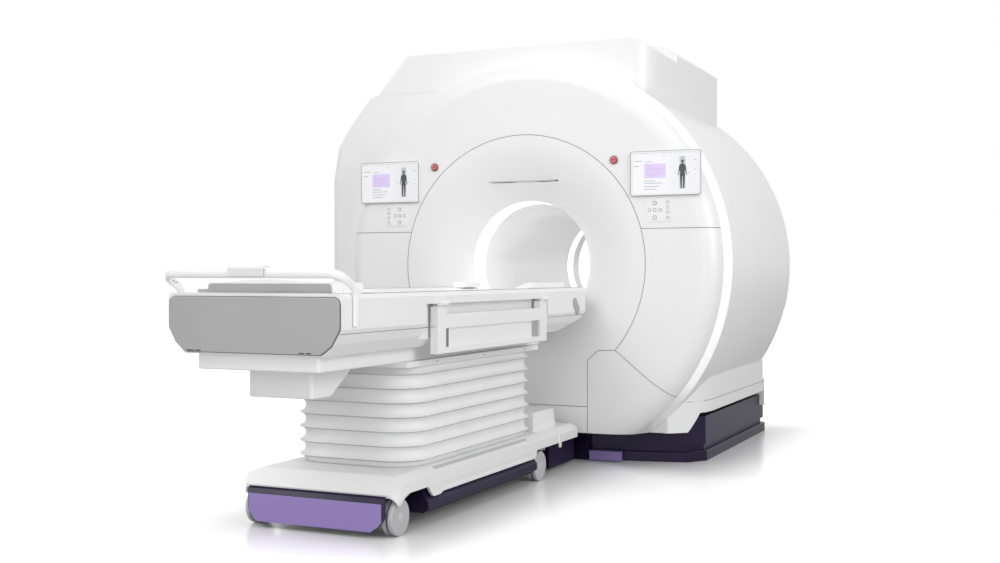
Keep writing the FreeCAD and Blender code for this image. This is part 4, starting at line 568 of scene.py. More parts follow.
def turned(bm, profile, centre, axis, steps, closed=False, angle=math.tau):
    """Spins a profile of corners (x, y, z) about an axis through the centre."""
    verts = [bm.verts.new(corner) for corner in profile]
    followers = verts[1:] + verts[:1] if closed else verts[1:]
    edges = [bm.edges.new(pair) for pair in zip(verts, followers)]
    bmesh.ops.spin(bm, geom=verts + edges, cent=centre, axis=axis, angle=angle, steps=steps,
                   use_merge=angle == math.tau)


def block(bm, centre, size):
    """A box of a size (x, y, z) about its centre."""
    bmesh.ops.create_cube(bm, matrix=Matrix.Translation(centre) @ Matrix.Diagonal((*size, 1.0)))


def screw_head(bm, place, toward, radius, crown_radius, depth, segments):
    """A low head whose crown looks along X: toward is 1 or -1."""
    turn = Matrix.Rotation(toward * math.pi / 2, 4, "Y")
    bmesh.ops.create_cone(bm, cap_ends=True, segments=segments, radius1=radius, radius2=crown_radius,
                          depth=depth, matrix=Matrix.Translation(place) @ turn)


# ---------------------------------------------------------------- properties

class ScannerColours(bpy.types.PropertyGroup):
    """Colours of the scanner's finishes."""
    cover: FloatVectorProperty(name="Covers", description="Colour of the sprayed covers",
                               subtype="COLOR", min=0, max=1, default=linear("#F0F0F0"))
    grey: FloatVectorProperty(name="End panel", description="Colour of the moulded end panel",
                              subtype="COLOR", min=0, max=1, default=linear("#A9A9A9"))
    violet: FloatVectorProperty(name="Plates", description="Colour of the enamelled plates",
                                subtype="COLOR", min=0, max=1, default=linear("#9883C4"))
    dark_violet: FloatVectorProperty(name="Bases", description="Colour of the enamelled bases",
                                     subtype="COLOR", min=0, max=1, default=linear("#221B36"))
    bellows: FloatVectorProperty(name="Sleeve", description="Colour of the pleated sleeve",
                                 subtype="COLOR", min=0, max=1, default=linear("#EFEFEF"))
    stop: FloatVectorProperty(name="Stop buttons", description="Colour of the stop buttons",
                              subtype="COLOR", min=0, max=1, default=linear("#B8383F"))
    seam: FloatVectorProperty(name="Seams", description="Colour of the gaskets between the covers",
                              subtype="COLOR", min=0, max=1, default=linear("#828284"))


class ScannerSizes(bpy.types.PropertyGroup):
    """Sizes of the scanner's fittings."""
    seam_width: FloatProperty(name="Seam width", description="Width of the gaskets between the covers",
                              unit="LENGTH", min=0.0005, max=0.01, default=0.0034)
    pleats: IntProperty(name="Pleats", description="Ridges of the sleeve", min=3, max=12, default=7)
    pleat_depth: FloatProperty(name="Pleat depth", description="Depth of the sleeve's pleats",
                               unit="LENGTH", min=0.005, max=0.04, default=0.021)
    key_size: FloatProperty(name="Key size", description="Width of a key on the keypads",
                            unit="LENGTH", min=0.005, max=0.04, default=0.019)


# ---------------------------------------------------------------- gantry

class SCANNER_OT_gantry_finishes(bpy.types.Operator):
    """Finishes of the gantry's covers, magnet and base"""
    bl_idname = "scanner.gantry_finishes"
    bl_label = "Gantry finishes"

    def execute(self, context):
        coat("cover", "front_inner_disc", "front_upper_cover", "front_left_cover", "front_right_cover",
             "service_panels", "dock_panel", "side_cover_right", "side_cover_left", "side_skirts",
             "top_cover_front", "top_cover_rear", "rear_cover")
        coat("rim", "front_rim_ring")
        coat("light", "bore_light_rings")
        coat("bore", "bore_liner", "bore_bridge")
        coat("vessel", "magnet_vessel", "cover_frames", "cold_head", "magnet_feet")
        coat("coil", "gradient_coil", "rf_body_coil")
        coat("dark_violet", "base_plinth", "base_skirt", "dock_receptacle")
        coat("violet", "dock_pedal")
        coat("gloss", "display_housings", "keypads")
        coat("screen", "display_screens")
        coat("red", "stop_button_right", "stop_button_left")
        return {"FINISHED"}


class SCANNER_OT_cover_joints(bpy.types.Operator):
    """Gaskets in the joints between the gantry's covers"""
    bl_idname = "scanner.cover_joints"
    bl_label = "Cover joints"

    def execute(self, context):
        radius = context.scene.scanner_sizes.seam_width / 2
        thin_radius = 0.0016

        # Round joint of the inner disc, which ends at the knees of the service panels.
        bm = bmesh.new()
        knee_x = 0.5533
        knee_z = ISO.z - math.sqrt(DISC_RADIUS ** 2 - knee_x ** 2)
        knee = math.atan2(knee_z - ISO.z, knee_x)
        arc = arc_places(DISC_RADIUS, knee, math.pi - knee, 120, (ISO.x, ISO.z))
        tube_along(bm, [(x, FACE_Y, z) for x, z in arc], radius)
        # On each side, the level joint under the keypad and the outline of the service panel.
        side_level = 1.292
        outline = ((0.394, 0.1785), (0.394, 0.578), (0.455, 0.631), (knee_x, knee_z), (0.750, 0.476),
                   (0.8755, 0.3898))
        for side in (1, -1):
            level = [(side * math.sqrt(r ** 2 - (side_level - ISO.z) ** 2), side_level)
                     for r in (DISC_RADIUS, BEVEL_END - 0.001)]
            service = [(side * x, z) for x, z in outline]
            for corners, step in ((level, 0.006), (service, 0.008)):
                tube_along(bm, [(x, face_y(x, z), z) for x, z in walk(corners, step)], radius)
        # Joint over the dock panel, between the service panels.
        dock_x, dock_z = 0.3935, 0.322
        dock = walk([(-dock_x, dock_z), (dock_x, dock_z)], 0.1)
        tube_along(bm, [(x, face_y(x, z), z) for x, z in dock], radius)
        piece("front_cover_gaskets", bm, "gantry", "gasket")

        # Joint behind the rim, down to the skirt.
        bm = bmesh.new()
        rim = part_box("front_rim_ring")[1]
        rim_radius, rim_foot = rim.x - thin_radius, 0.19
        lowest = math.asin((rim_foot - ISO.z) / rim_radius)
        arc = arc_places(rim_radius, lowest, math.pi - lowest, 150, (ISO.x, ISO.z))
        tube_along(bm, [(x, rim.y + 0.0004, z) for x, z in arc], thin_radius)
        piece("rim_joint", bm, "gantry", "gasket")

        # Joint between the drum's cover and the skirt, seen from above: (x, y).
        bm = bmesh.new()
        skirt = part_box("side_skirts")[1]
        plan = [(0.873, -0.695), (0.8958, -0.6678), (0.925, -0.615), (0.9497, -0.5563), (0.962, -0.500),
                (skirt.x, -0.450), (skirt.x, skirt.y - 0.002)]
        tube_along(bm, [(x, y, skirt.z + 0.0003) for x, y in plan], thin_radius)
        piece("side_skirt_joint", bm, "gantry", "gasket")
        return {"FINISHED"}


class SCANNER_OT_front_fittings(bpy.types.Operator):
    """Frames round the displays and the speaker grille over the bore"""
    bl_idname = "scanner.front_fittings"
    bl_label = "Front fittings"

    def execute(self, context):
        low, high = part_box("display_housings")
        inner_x, inset, corner = 0.644, 0.0012, 0.0108
        bm = bmesh.new()
        for x0, x1 in ((inner_x, high.x), (low.x, -inner_x)):
            outline = rounded_corners(x0 + inset, low.z + inset, x1 - inset, high.z - inset, corner)
            tube_along(bm, [(x, low.y + 0.0008, z) for x, z in outline], 0.0015, closed=True)
        piece("display_frames", bm, "gantry", "gasket")

        half_long, half_high, level = 0.2035, 0.0036, ISO.z + 0.466
        bm = bmesh.new()
        outline = rounded_corners(-half_long, level - half_high, half_long, level + half_high, 0.0035)
        plate(bm, outline, FACE_Y + 0.0075, 0.0045)
        piece("speaker_grille", bm, "gantry", "pale_grey", smooth=False)
        return {"FINISHED"}


class SCANNER_OT_cover_closings(bpy.types.Operator):
    """Panels in the open corners of the covers, ends of the hollow track and the collar of the rear mouth"""
    bl_idname = "scanner.cover_closings"
    bl_label = "Cover closings"

    def execute(self, context):
        # Panel between the rim and the skirt, at the front foot of the drum.
        skirt_low, skirt_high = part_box("side_skirts")
        rim_radius, inner_x, foot, top = 1.1562, 0.797, 0.1785, 0.2625
        bm = bmesh.new()
        rim = [(math.sqrt(rim_radius ** 2 - (ISO.z - z) ** 2), z) for z in (foot, 0.2, 0.22, 0.24, top)]
        plate(bm, rim + [(inner_x, top), (inner_x, foot)], skirt_low.y + 0.0120, 0.0118)
        # This panel takes the sprayed skin darkened as painted shade.
        piece("skirt_corner_panel", bm, "gantry", "panel", smooth=False)

        # Band inside the drum's round rear edge, over the crown.
        drum_radius, edge_round, inset, thick = 1.140, 0.120, 0.006, 0.006
        start, reach = math.radians(38), math.radians(50)
        middle = (drum_radius - edge_round, REAR_Y - edge_round)
        outer = arc_places(edge_round - inset, math.pi / 2, 0.0, 8, middle)
        section = outer + [(r - thick, y - thick) for r, y in reversed(outer)]
        profile = [(r * math.cos(start), y, ISO.z + r * math.sin(start)) for r, y in section]
        bm = bmesh.new()
        turned(bm, profile, ISO, (0, -1, 0), 24, closed=True, angle=reach)
        bmesh.ops.holes_fill(bm, edges=[edge for edge in bm.edges if edge.is_boundary])
        piece("rear_edge_band", bm, "gantry", "cover")

        # Panel behind the open lower corners of the rear cover.
        bm = bmesh.new()
        plate(bm, box_corners(-1.345, 0.182, skirt_high.x - 0.004, 0.358), 0.884, 0.006)
        piece("rear_foot_panel", bm, "gantry", "cover", smooth=False)

        # Both ends of the hollow track in the bottom of the bore.
        low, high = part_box("bore_bridge")
        wall = 0.0125
        inner, half, roof = ISO.z - low.z - wall, high.x - wall, high.z - wall
        sweep = math.asin(half / inner)
        floor = arc_places(inner, -math.pi / 2 - sweep, -math.pi / 2 + sweep, 24, (ISO.x, ISO.z))
        bm = bmesh.new()
        for y in (-0.786, 0.790):
            plate(bm, [(-half, roof)] + floor + [(half, roof)], y, 0.004)
        piece("bore_track_ends", bm, "gantry", "bore", smooth=False)

        # Collar of the rear mouth: (radius, y).
        section = [(0.3625, 0.7955), (0.3625, 0.900), (0.3650, 0.909), (0.3720, 0.914), (0.4150, 0.914),
                   (0.4350, 0.908), (0.4600, 0.884), (0.4600, 0.860), (0.4000, 0.822)]
        bm = bmesh.new()
        turned(bm, [(r, y, ISO.z) for r, y in section], ISO, (0, 1, 0), 96, closed=True)
        piece("rear_mouth_collar", bm, "gantry", "bore")
        return {"FINISHED"}


class SCANNER_OT_displays(bpy.types.Operator):
    """Lit areas on both displays: a plan of the table, a plain figure and generic controls"""
    bl_idname = "scanner.displays"
    bl_label = "Displays"

    def execute(self, context):
        low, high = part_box("display_screens")
        glass_x0, glass_x1 = 0.6564, 1.0196
        width, height = glass_x1 - glass_x0, high.z - low.z
        layer = 0.0002
        # Lines of text and small controls: (u0, u1, v), as shares of the glass.
        lines = ((0.02, 0.15, 0.81), (0.02, 0.10, 0.69), (0.20, 0.30, 0.79), (0.18, 0.34, 0.31),
                 (0.18, 0.46, 0.25), (0.18, 0.40, 0.17), (0.18, 0.36, 0.10), (0.93, 0.97, 0.80),
                 (0.94, 0.96, 0.57), (0.94, 0.96, 0.45), (0.64, 0.665, 0.49), (0.845, 0.87, 0.49),
                 (0.47, 0.49, 0.93))
        thin_lines = ((0.20, 0.26, 0.69), (0.20, 0.48, 0.62), (0.20, 0.42, 0.56), (0.20, 0.46, 0.50),
                      (0.20, 0.38, 0.44))
        strokes = [(u0, v - half, u1, v + half) for group, half in ((lines, 0.008), (thin_lines, 0.004))
                   for u0, u1, v in group]
        # Areas: (name, finish, layers above the glass, their outlines).
        areas = (("side_area", "ink_panel", 1, [(0.57, 0.015, 0.985, 0.985)]),
                 ("card", "ink_violet", 1, [(0.18, 0.38, 0.505, 0.74)]),
                 ("lines", "ink_line", 2, strokes),
                 ("bed", "ink_table", 2, [(0.714, 0.10, 0.802, 0.90)]))
        # Right half of the figure, from the neck round to the crotch, as shares of the glass's height.
        half_figure = ((0.0, 0.745), (0.018, 0.74), (0.022, 0.715), (0.070, 0.69), (0.085, 0.66),
                       (0.105, 0.50), (0.115, 0.44), (0.095, 0.435), (0.068, 0.58), (0.058, 0.50),
                       (0.066, 0.42), (0.056, 0.26), (0.045, 0.13), (0.050, 0.105), (0.018, 0.105),
                       (0.014, 0.26), (0.008, 0.40), (0.0, 0.41))
        figure_u, head_v, head_radius = 0.758, 0.78, 0.036

        for left, tag in ((glass_x0, "right"), (-glass_x1, "left")):
            for name, ink, layers, outlines in areas:
                bm = bmesh.new()
                for u0, v0, u1, v1 in outlines:
                    plate(bm, box_corners(left + u0 * width, low.z + v0 * height,
                                          left + u1 * width, low.z + v1 * height), low.y, layers * layer)
                piece("display_%s_%s" % (tag, name), bm, "gantry", ink, smooth=False)

            centre_x, head_z = left + figure_u * width, low.z + head_v * height
            bm = bmesh.new()
            place = Matrix.Translation((centre_x, low.y - 1.5 * layer, head_z))
            bmesh.ops.create_cone(bm, cap_ends=True, segments=20, radius1=head_radius * height,
                                  radius2=head_radius * height, depth=3 * layer,
                                  matrix=place @ Matrix.Rotation(math.pi / 2, 4, "X"))
            for side in (1, -1):
                outline = [(centre_x + side * u * height, low.z + v * height) for u, v in half_figure]
                plate(bm, outline, low.y, 3 * layer)
            piece("display_%s_figure" % tag, bm, "gantry", "ink_figure", smooth=False)
        return {"FINISHED"}


class SCANNER_OT_keypads(bpy.types.Operator):
    """Membrane keys with printed frames on both keypads"""
    bl_idname = "scanner.keypads"
    bl_label = "Keypads"

    def execute(self, context):
        key_size = context.scene.scanner_sizes.key_size
        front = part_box("keypads")[0].y
        # Keys: (x, z, share of the key's size).
        column = [(0.849, z, 0.8) for z in (1.430, 1.403, 1.377, 1.348)]
        cross = [(0.777, 1.426, 1.05), (0.777, 1.389, 0.9), (0.777, 1.349, 1.05), (0.747, 1.389, 0.85),
                 (0.807, 1.389, 0.85)]
        for side, tag in ((1, "right"), (-1, "left")):
            frames, caps = bmesh.new(), bmesh.new()
            for x, z, share in column + cross:
                x *= side
                for bm, width, lift, thick in ((frames, 1.0, 0.0, 0.0005), (caps, 0.66, 0.0002, 0.0007)):
                    half = key_size * share * width / 2
                    outline = rounded_corners(x - half, z - half, x + half, z + half, half * 0.3)
                    plate(bm, outline, front - lift, thick)
            piece("keypad_%s_frames" % tag, frames, "gantry", "ink_key", smooth=False)
            piece("keypad_%s_caps" % tag, caps, "gantry", "gloss", smooth=False)
        return {"FINISHED"}


class SCANNER_OT_stop_collars(bpy.types.Operator):
    """Collars round the stop buttons and the turning arrows on their caps"""
    bl_idname = "scanner.stop_collars"
    bl_label = "Stop collars"

    def execute(self, context):
        # Section of the collar: (radius, y from the face).
        section = [(0.0212, 0.0), (0.0212, -0.0018), (0.0222, -0.0026), (0.0256, -0.0026), (0.0268, -0.0014),
                   (0.0268, 0.0)]
        arrows, print_height = 3, 0.0003
        outer, inner, shaft = 0.0118, 0.0098, math.radians(80)
        head_outer, head_inner, tip_radius, head = 0.0140, 0.0076, 0.0108, math.radians(22)
        for side, tag in ((1, "right"), (-1, "left")):
            centre = Vector((side * 0.546, FACE_Y, 1.664))
            middle = (centre.x, centre.z)
            bm = bmesh.new()
            turned(bm, [(centre.x + r, centre.y + y, centre.z) for r, y in section], centre, (0, 1, 0), 40)
            piece("stop_collar_" + tag, bm, "gantry", "pale_grey")

            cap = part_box("stop_button_" + tag)[0].y
            bm = bmesh.new()
            for arrow in range(arrows):
                start = math.tau / arrows * arrow + math.radians(10)
                stop = start + shaft
                bow = arc_places(outer, start, stop, 8, middle) + arc_places(inner, stop, start, 8, middle)
                plate(bm, bow, cap, print_height)
                corners = ((head_outer, stop), (head_inner, stop), (tip_radius, stop + head))
                plate(bm, [(centre.x + r * math.cos(turn), centre.z + r * math.sin(turn))
                           for r, turn in corners], cap, print_height)
            piece("stop_arrows_" + tag, bm, "stop_button_" + tag, "print", smooth=False)
        return {"FINISHED"}


# ---------------------------------------------------------------- table

class SCANNER_OT_table_finishes(bpy.types.Operator):
    """Finishes of the table, its lift and its base"""
    bl_idname = "scanner.table_finishes"
    bl_label = "Table finishes"

    def execute(self, context):
        coat("table", "table_upper_frame", "table_lower_shell", "lift_top_frame", "pump_housing",
             "base_cover", "side_rail_right", "side_rail_left")
        coat("gloss", "push_handle", "handle_release", "cradle", "coil_ports", "cradle_end_block")
        coat("grey", "table_end_panel", "side_button_right", "side_button_left")
        coat("end_plate", "base_end_plate")
        coat("dark_violet", "base_chassis", "table_dock_unit")
        coat("anodised", "lift_inner", "lift_outer")
        for tag in CASTERS:
            coat("zinc", "caster_fork_" + tag)
            coat("tread", "caster_wheel_" + tag)
        return {"FINISHED"}


class SCANNER_OT_bellows(bpy.types.Operator):
    """Pleated sleeve round the lift: scalloped bands between thin ridges"""
    bl_idname = "scanner.bellows"
    bl_label = "Sleeve"

    def execute(self, context):
        sizes = context.scene.scanner_sizes
        low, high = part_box("bellows")
        centre = (low + high) / 2
        half_x, half_y = (high.x - low.x) / 2, (high.y - low.y) / 2
        corner, sides = 0.150, 72
        bm = bmesh.new()
        bmesh.ops.create_circle(bm, segments=sides, radius=corner)
        bmesh.ops.rotate(bm, verts=bm.verts, matrix=Matrix.Rotation(math.pi / sides, 3, "Z"))
        for vert in bm.verts:
            vert.co.x += math.copysign(half_x - corner, vert.co.x)
            vert.co.y += math.copysign(half_y - corner, vert.co.y)
        bmesh.ops.translate(bm, verts=bm.verts, vec=(centre.x, centre.y, low.z))
        about_centre = Matrix.Translation((-centre.x, -centre.y, 0))
        pitch = (high.z - low.z) / sizes.pleats
        # One pleat from ridge to ridge: (height, depth) as shares of the pitch and of the pleat's depth.
        pleat = ((0.00, 0.0), (0.035, 0.06), (0.06, 0.38), (0.16, 0.64), (0.30, 0.88), (0.50, 1.0),
                 (0.70, 0.88), (0.84, 0.64), (0.94, 0.38), (0.965, 0.06))
        steps = [(n + up - 0.5, deep) for n in range(sizes.pleats + 1) for up, deep in pleat]
        steps = [step for step in steps if 0.0 <= step[0] <= sizes.pleats]
        level = offset = 0.0
        ring = list(bm.verts)
        edges = list(bm.edges)
        for i, (up, deep) in enumerate(steps):
            depth = -sizes.pleat_depth * deep
            if i:
                made = bmesh.ops.extrude_edge_only(bm, edges=edges)["geom"]
                ring = [item for item in made if isinstance(item, bmesh.types.BMVert)]
                edges = [item for item in made if isinstance(item, bmesh.types.BMEdge)
                         and item.verts[0] in ring and item.verts[1] in ring]
                bmesh.ops.translate(bm, verts=ring, vec=(0, 0, (up - level) * pitch))
            factor = ((half_x + depth) / (half_x + offset), (half_y + depth) / (half_y + offset), 1.0)
            bmesh.ops.scale(bm, verts=ring, vec=factor, space=about_centre)
            level, offset = up, depth
        sleeve = piece("bellows_sleeve", bm, "table_base", "bellows")
        thicken(sleeve, 0.003)
        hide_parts("bellows")
        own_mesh(sleeve)
        return {"FINISHED"}


class SCANNER_OT_casters(bpy.types.Operator):
    """Hub caps on both sides of the wheels"""
    bl_idname = "scanner.casters"
    bl_label = "Casters"

    def execute(self, context):
        # Section of a cap: (radius, height over the wheel's side).
        section = [(0.0, 0.0030), (0.0095, 0.0030), (0.0110, 0.0014), (0.0185, 0.0012), (0.0200, 0.0000),
                   (0.0200, -0.0008)]
        for tag in CASTERS:
            low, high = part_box("caster_wheel_" + tag)
            centre = (low + high) / 2
            bm = bmesh.new()
            for side, toward in ((high.x, 1), (low.x, -1)):
                turned(bm, [(side + toward * up, centre.y + r, centre.z) for r, up in section],
                       (side, centre.y, centre.z), (1, 0, 0), 32)
            bmesh.ops.remove_doubles(bm, verts=bm.verts, dist=1e-6)
            piece("caster_caps_" + tag, bm, "wheel_" + tag, "cap")
        return {"FINISHED"}


class SCANNER_OT_wheel_arches(bpy.types.Operator):
    """Cheeks of the base's cover in front of the front wheels"""
    bl_idname = "scanner.wheel_arches"
    bl_label = "Wheel arches"

    def execute(self, context):
        low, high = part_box("base_cover")
        bend_radius, skin, top = 0.034, 0.0004, 0.172
        # Round the corner, the cheek's lower edge drops from the front to the side.
        edge_high, edge_drop, steps, drop_steps = 0.160, 0.032, 12, 9
        middle = (high.x - bend_radius, low.y + bend_radius)
        corner = arc_places(bend_radius + skin, -math.pi / 2, 0.0, steps, middle)
        foot = [(x, y, edge_high - edge_drop * min(1.0, i / drop_steps) ** 1.6)
                for i, (x, y) in enumerate(corner)]
        # Behind it the edge rises over the wheel: (distance from the front, height).
        arch = ((0.040, 0.132), (0.046, 0.137), (0.054, 0.143), (0.066, 0.150), (0.084, 0.159),
                (0.104, 0.165), (0.122, 0.168))
        foot += [(high.x + skin, low.y + along, z) for along, z in arch]
        for side, tag in ((1, "right"), (-1, "left")):
            bm = bmesh.new()
            verts = [bm.verts.new((side * x, y, z)) for x, y, z in foot]
            edges = [bm.edges.new(pair) for pair in zip(verts, verts[1:])]
            made = bmesh.ops.extrude_edge_only(bm, edges=edges)["geom"]
            for item in made:
                if isinstance(item, bmesh.types.BMVert):
                    item.co.z = top
            bm.normal_update()
            rearmost = max(bm.faces, key=lambda face: face.calc_center_median().y)
            if rearmost.normal.x * side < 0:
                bmesh.ops.reverse_faces(bm, faces=bm.faces)
            cheek = piece("wheel_arch_cheek_" + tag, bm, "table_base", "table",
                          recalculate=False)
            thicken(cheek, 0.008)
            soften(cheek, 0.002, 2)
        return {"FINISHED"}


class SCANNER_OT_push_handle(bpy.types.Operator):
    """Push handle of flat oval tube, its screws and the release under it"""
    bl_idname = "scanner.push_handle"
    bl_label = "Push handle"

    def execute(self, context):
        # The tube rises from the table's sides at foot_y and leans out to its cross bar at bar_y.
        side_x, foot_y, foot_z, knee_z = 0.3995, -3.352, 0.856, 0.992
        bar_y, bar_z, tube_radius = -3.464, 1.050, 0.0095
        arm = [(side_x, foot_y, foot_z), (side_x, foot_y, knee_z), (side_x, bar_y, bar_z)]
        line = bend(arm + [(-x, y, z) for x, y, z in reversed(arm)], 0.05)
        bm = bmesh.new()
        tube_along(bm, line, tube_radius, sides=20, tall=1.8)
        handle = piece("push_handle_tube", bm, "table_top", "gloss")
        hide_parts("push_handle")

        # Screws on the inner sides of both leaning runs.
        bm = bmesh.new()
        for side in (1, -1):
            inner_x = side * (side_x - tube_radius)
            for along in (0.40, 0.52):
                place = Vector((inner_x, foot_y, knee_z)).lerp((inner_x, bar_y, bar_z), along)
                screw_head(bm, place, -side, 0.0034, 0.0028, 0.002, 12)
        piece("push_handle_screws", bm, "table_top", "powder")

        # Section of the release round the cross bar: (y, z) from the bar.
        low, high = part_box("handle_release")
        section = [(-0.0210, -0.0120), (-0.0210, 0.0190), (-0.0165, 0.0245), (0.0280, 0.0245),
                   (0.0280, 0.0200), (-0.0100, 0.0200), (-0.0140, 0.0160), (-0.0140, -0.0120)]
        bm = bmesh.new()
        prism(bm, [(low.x, bar_y + y, bar_z + 0.002 + z) for y, z in section], (high.x - low.x, 0, 0))
        paddle = piece("handle_release_paddle", bm, "release", "paddle")
        soften(paddle, 0.0015, 2)
        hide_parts("handle_release")
        return {"FINISHED"}


class SCANNER_OT_end_panel(bpy.types.Operator):
    """Grey end panel of the table, the gap round it, its slits and the front of the cradle's block"""
    bl_idname = "scanner.end_panel"
    bl_label = "End panel"

    def execute(self, context):
        low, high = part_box("table_end_panel")
        half = [(0.305, 0.752), (0.350, 0.785), (0.385, 0.845), (0.385, 0.9625)]
        corners = half + [(-x, z) for x, z in reversed(half)]
        outline = [(place.x, place.z) for place in bend([(x, 0, z) for x, z in corners], 0.026, closed=True)]
        bm = bmesh.new()
        plate(bm, outline, high.y - 0.0004, high.y - low.y - 0.0006)
        panel = piece("end_panel_moulding", bm, "table_top", "grey")
        soften(panel, 0.003, 3)
        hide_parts("table_end_panel")

        # Dark tube of painted shadow in the gap round the panel.
        bm = bmesh.new()
        tube_along(bm, [(x, high.y - 0.0006, z) for x, z in outline], 0.0022, closed=True)
        piece("end_panel_shadow_gap", bm, "table_top", "gap")

        # Slits along the lower edge of the panel: dark plates of painted shade.
        bm = bmesh.new()
        for x0, x1 in ((-0.296, -0.262), (-0.254, -0.230), (0.215, 0.238), (0.246, 0.268)):
            plate(bm, box_corners(x0, low.z + 0.0036, x1, low.z + 0.0080), low.y + 0.0002, 0.0005)
        piece("end_panel_slits", bm, "table_top", "gap", smooth=False)

        # The block's front has round shoulders, and its flange is wider on the left.
        flange_x, shoulder_x, foot, flange_z = -0.333, 0.283, 0.976, 0.989
        shoulder = [(shoulder_x, 0.999), (0.280, 1.0065), (0.272, 1.0115)]
        outline = ([(flange_x, foot), (shoulder_x, foot)] + shoulder
                   + [(-x, z) for x, z in reversed(shoulder)]
                   + [(-shoulder_x, flange_z), (flange_x, flange_z)])
        bm = bmesh.new()
        plate(bm, outline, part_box("cradle_end_block")[0].y, 0.0025)
        piece("cradle_block_front", bm, "cradle", "grey", smooth=False)
        return {"FINISHED"}


class SCANNER_OT_base_fittings(bpy.types.Operator):
    """Painted shade in the channels beside the sleeve and under the nose over the end plate, and the catch of
    the table's base
    """
    bl_idname = "scanner.base_fittings"
    bl_label = "Base fittings"

    def execute(self, context):
        # The strips lie on the cover's bevel, which falls from the flat to the edge: (x, z).
        flat, edge = Vector((0.318, 0.235)), Vector((0.370, 0.212))
        strip_y0, strip_y1, proud = -2.620, -1.640, 0.0006
        (x0, z0), (x1, z1) = flat.lerp(edge, 0.15), flat.lerp(edge, 0.50)
        # The pale grey strips stand for the painted shade in the shallow channels.
        for side, tag in ((1, "right"), (-1, "left")):
            bm = bmesh.new()
            prism(bm, [(side * x0, strip_y0, z0 + proud), (side * x1, strip_y0, z1 + proud),
                       (side * x1, strip_y1, z1 + proud), (side * x0, strip_y1, z0 + proud)], (0, 0, -0.002))
            piece("channel_shade_strip_" + tag, bm, "table_base", "pale_grey", smooth=False)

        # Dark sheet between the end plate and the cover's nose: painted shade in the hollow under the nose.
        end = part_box("base_end_plate")[1]
        bm = bmesh.new()
        outline = box_corners(0.004 - end.x, end.z - 0.022, end.x - 0.004, end.z + 0.008)
        plate(bm, outline, end.y + 0.006, 0.004)
        piece("nose_shadow_sheet", bm, "table_base", "dark_violet", smooth=False)

        # Catch on the side of the cover, above the docking unit.
        bm = bmesh.new()
        block(bm, (edge.x + 0.0005, -1.272, 0.176), (0.009, 0.026, 0.066))
        catch = piece("dock_catch", bm, "table_base", "gloss")
        soften(catch, 0.003, 3)
        return {"FINISHED"}


class SCANNER_OT_top_fittings(bpy.types.Operator):
    """Joint and edges of the tabletop, plates of painted shade at the ends of the rails' recesses, and screws
    of the tray
    """
    bl_idname = "scanner.top_fittings"
    bl_label = "Tabletop fittings"

    def execute(self, context):
        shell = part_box("table_lower_shell")[1]
        edge_x, edge_z = 0.3818, 0.9762
        joint, edges = bmesh.new(), bmesh.new()
        for side in (1, -1):
            tube_along(joint, [(side * shell.x, y, shell.z + 0.0003) for y in (-3.437, -0.962)], 0.0013)
            tube_along(edges, [(side * edge_x, y, edge_z) for y in (-3.28, -0.975)], 0.0012)
        piece("table_moulding_joint", joint, "table_top", "gasket")
        piece("tabletop_edges", edges, "table_top", "gasket")

        # Ends of the long recess in each rail: (end, from, to, finish).
        recess_x, recess_low, recess_high = 0.3885, 0.741, 0.818
        recesses = (("foot", -2.632, -2.588, "gasket"), ("head", -1.690, -1.6145, "grey"))
        # The ends are plates of painted shade: dark grey at the foot, grey at the head.
        for side, tag in ((1, "right"), (-1, "left")):
            for end, y0, y1, shade_finish in recesses:
                bm = bmesh.new()
                block(bm, (side * recess_x, (y0 + y1) / 2, (recess_low + recess_high) / 2),
                      (0.003, y1 - y0, recess_high - recess_low))
                piece("rail_slot_%s_%s" % (end, tag), bm, "rail_" + tag, shade_finish, smooth=False)

        tray_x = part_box("lift_top_frame")[1].x
        bm = bmesh.new()
        for side in (1, -1):
            for y in (-2.518, -2.048, -1.580):
                screw_head(bm, (side * (tray_x + 0.0004), y, 0.672), side, 0.0042, 0.0036, 0.0016, 16)
        piece("tray_screws", bm, "table_top", "zinc")
        return {"FINISHED"}


# ---------------------------------------------------------------- stage

def put(name, data, place, ahead=None):
    """Puts the floor, a lamp or the camera at a place; a lamp and the camera look ahead."""
    thing = bpy.data.objects.new(name, data)
    bpy.context.scene.collection.objects.link(thing)
    thing.location = place
    if ahead:
        thing.rotation_euler = ahead.to_track_quat("-Z", "Y").to_euler()
    return thing


def studio_sky():
    """Plain sky: white to the camera, in reflections and through glass, and softer as a light."""
    world = bpy.data.worlds.new("studio")
    world.use_nodes = True
    tree = world.node_tree
    tree.nodes.clear()
    path = add_node(tree, "ShaderNodeLightPath").outputs
    seen = path["Is Camera Ray"]
    for ray in ("Is Glossy Ray", "Is Transmission Ray"):
        seen = add_node(tree, "ShaderNodeMath", {0: seen, 1: path[ray]}, operation="MAXIMUM").outputs["Value"]
    ambient = add_node(tree, "ShaderNodeBackground", {"Color": opaque("#FAFAFA"), "Strength": 0.58})
    white = add_node(tree, "ShaderNodeBackground", {"Color": WHITE, "Strength": 1.0})
    mix = add_node(tree, "ShaderNodeMixShader",
                   {0: seen, 1: ambient.outputs["Background"], 2: white.outputs["Background"]})
    add_node(tree, "ShaderNodeOutputWorld", {"Surface": mix.outputs["Shader"]})
    return world


def gap_to_box(tree, place, centre, half):
    """Distance of a place from a box with this centre and half size."""
    still = (0.0, 0.0, 0.0)
    gap = place
    for operation, other in (("SUBTRACT", centre), ("ABSOLUTE", still), ("SUBTRACT", half),
                             ("MAXIMUM", still)):
        gap = add_node(tree, "ShaderNodeVectorMath", {0: gap, 1: other},
                       operation=operation).outputs["Vector"]
    return add_node(tree, "ShaderNodeVectorMath", {0: gap}, operation="LENGTH").outputs["Value"]


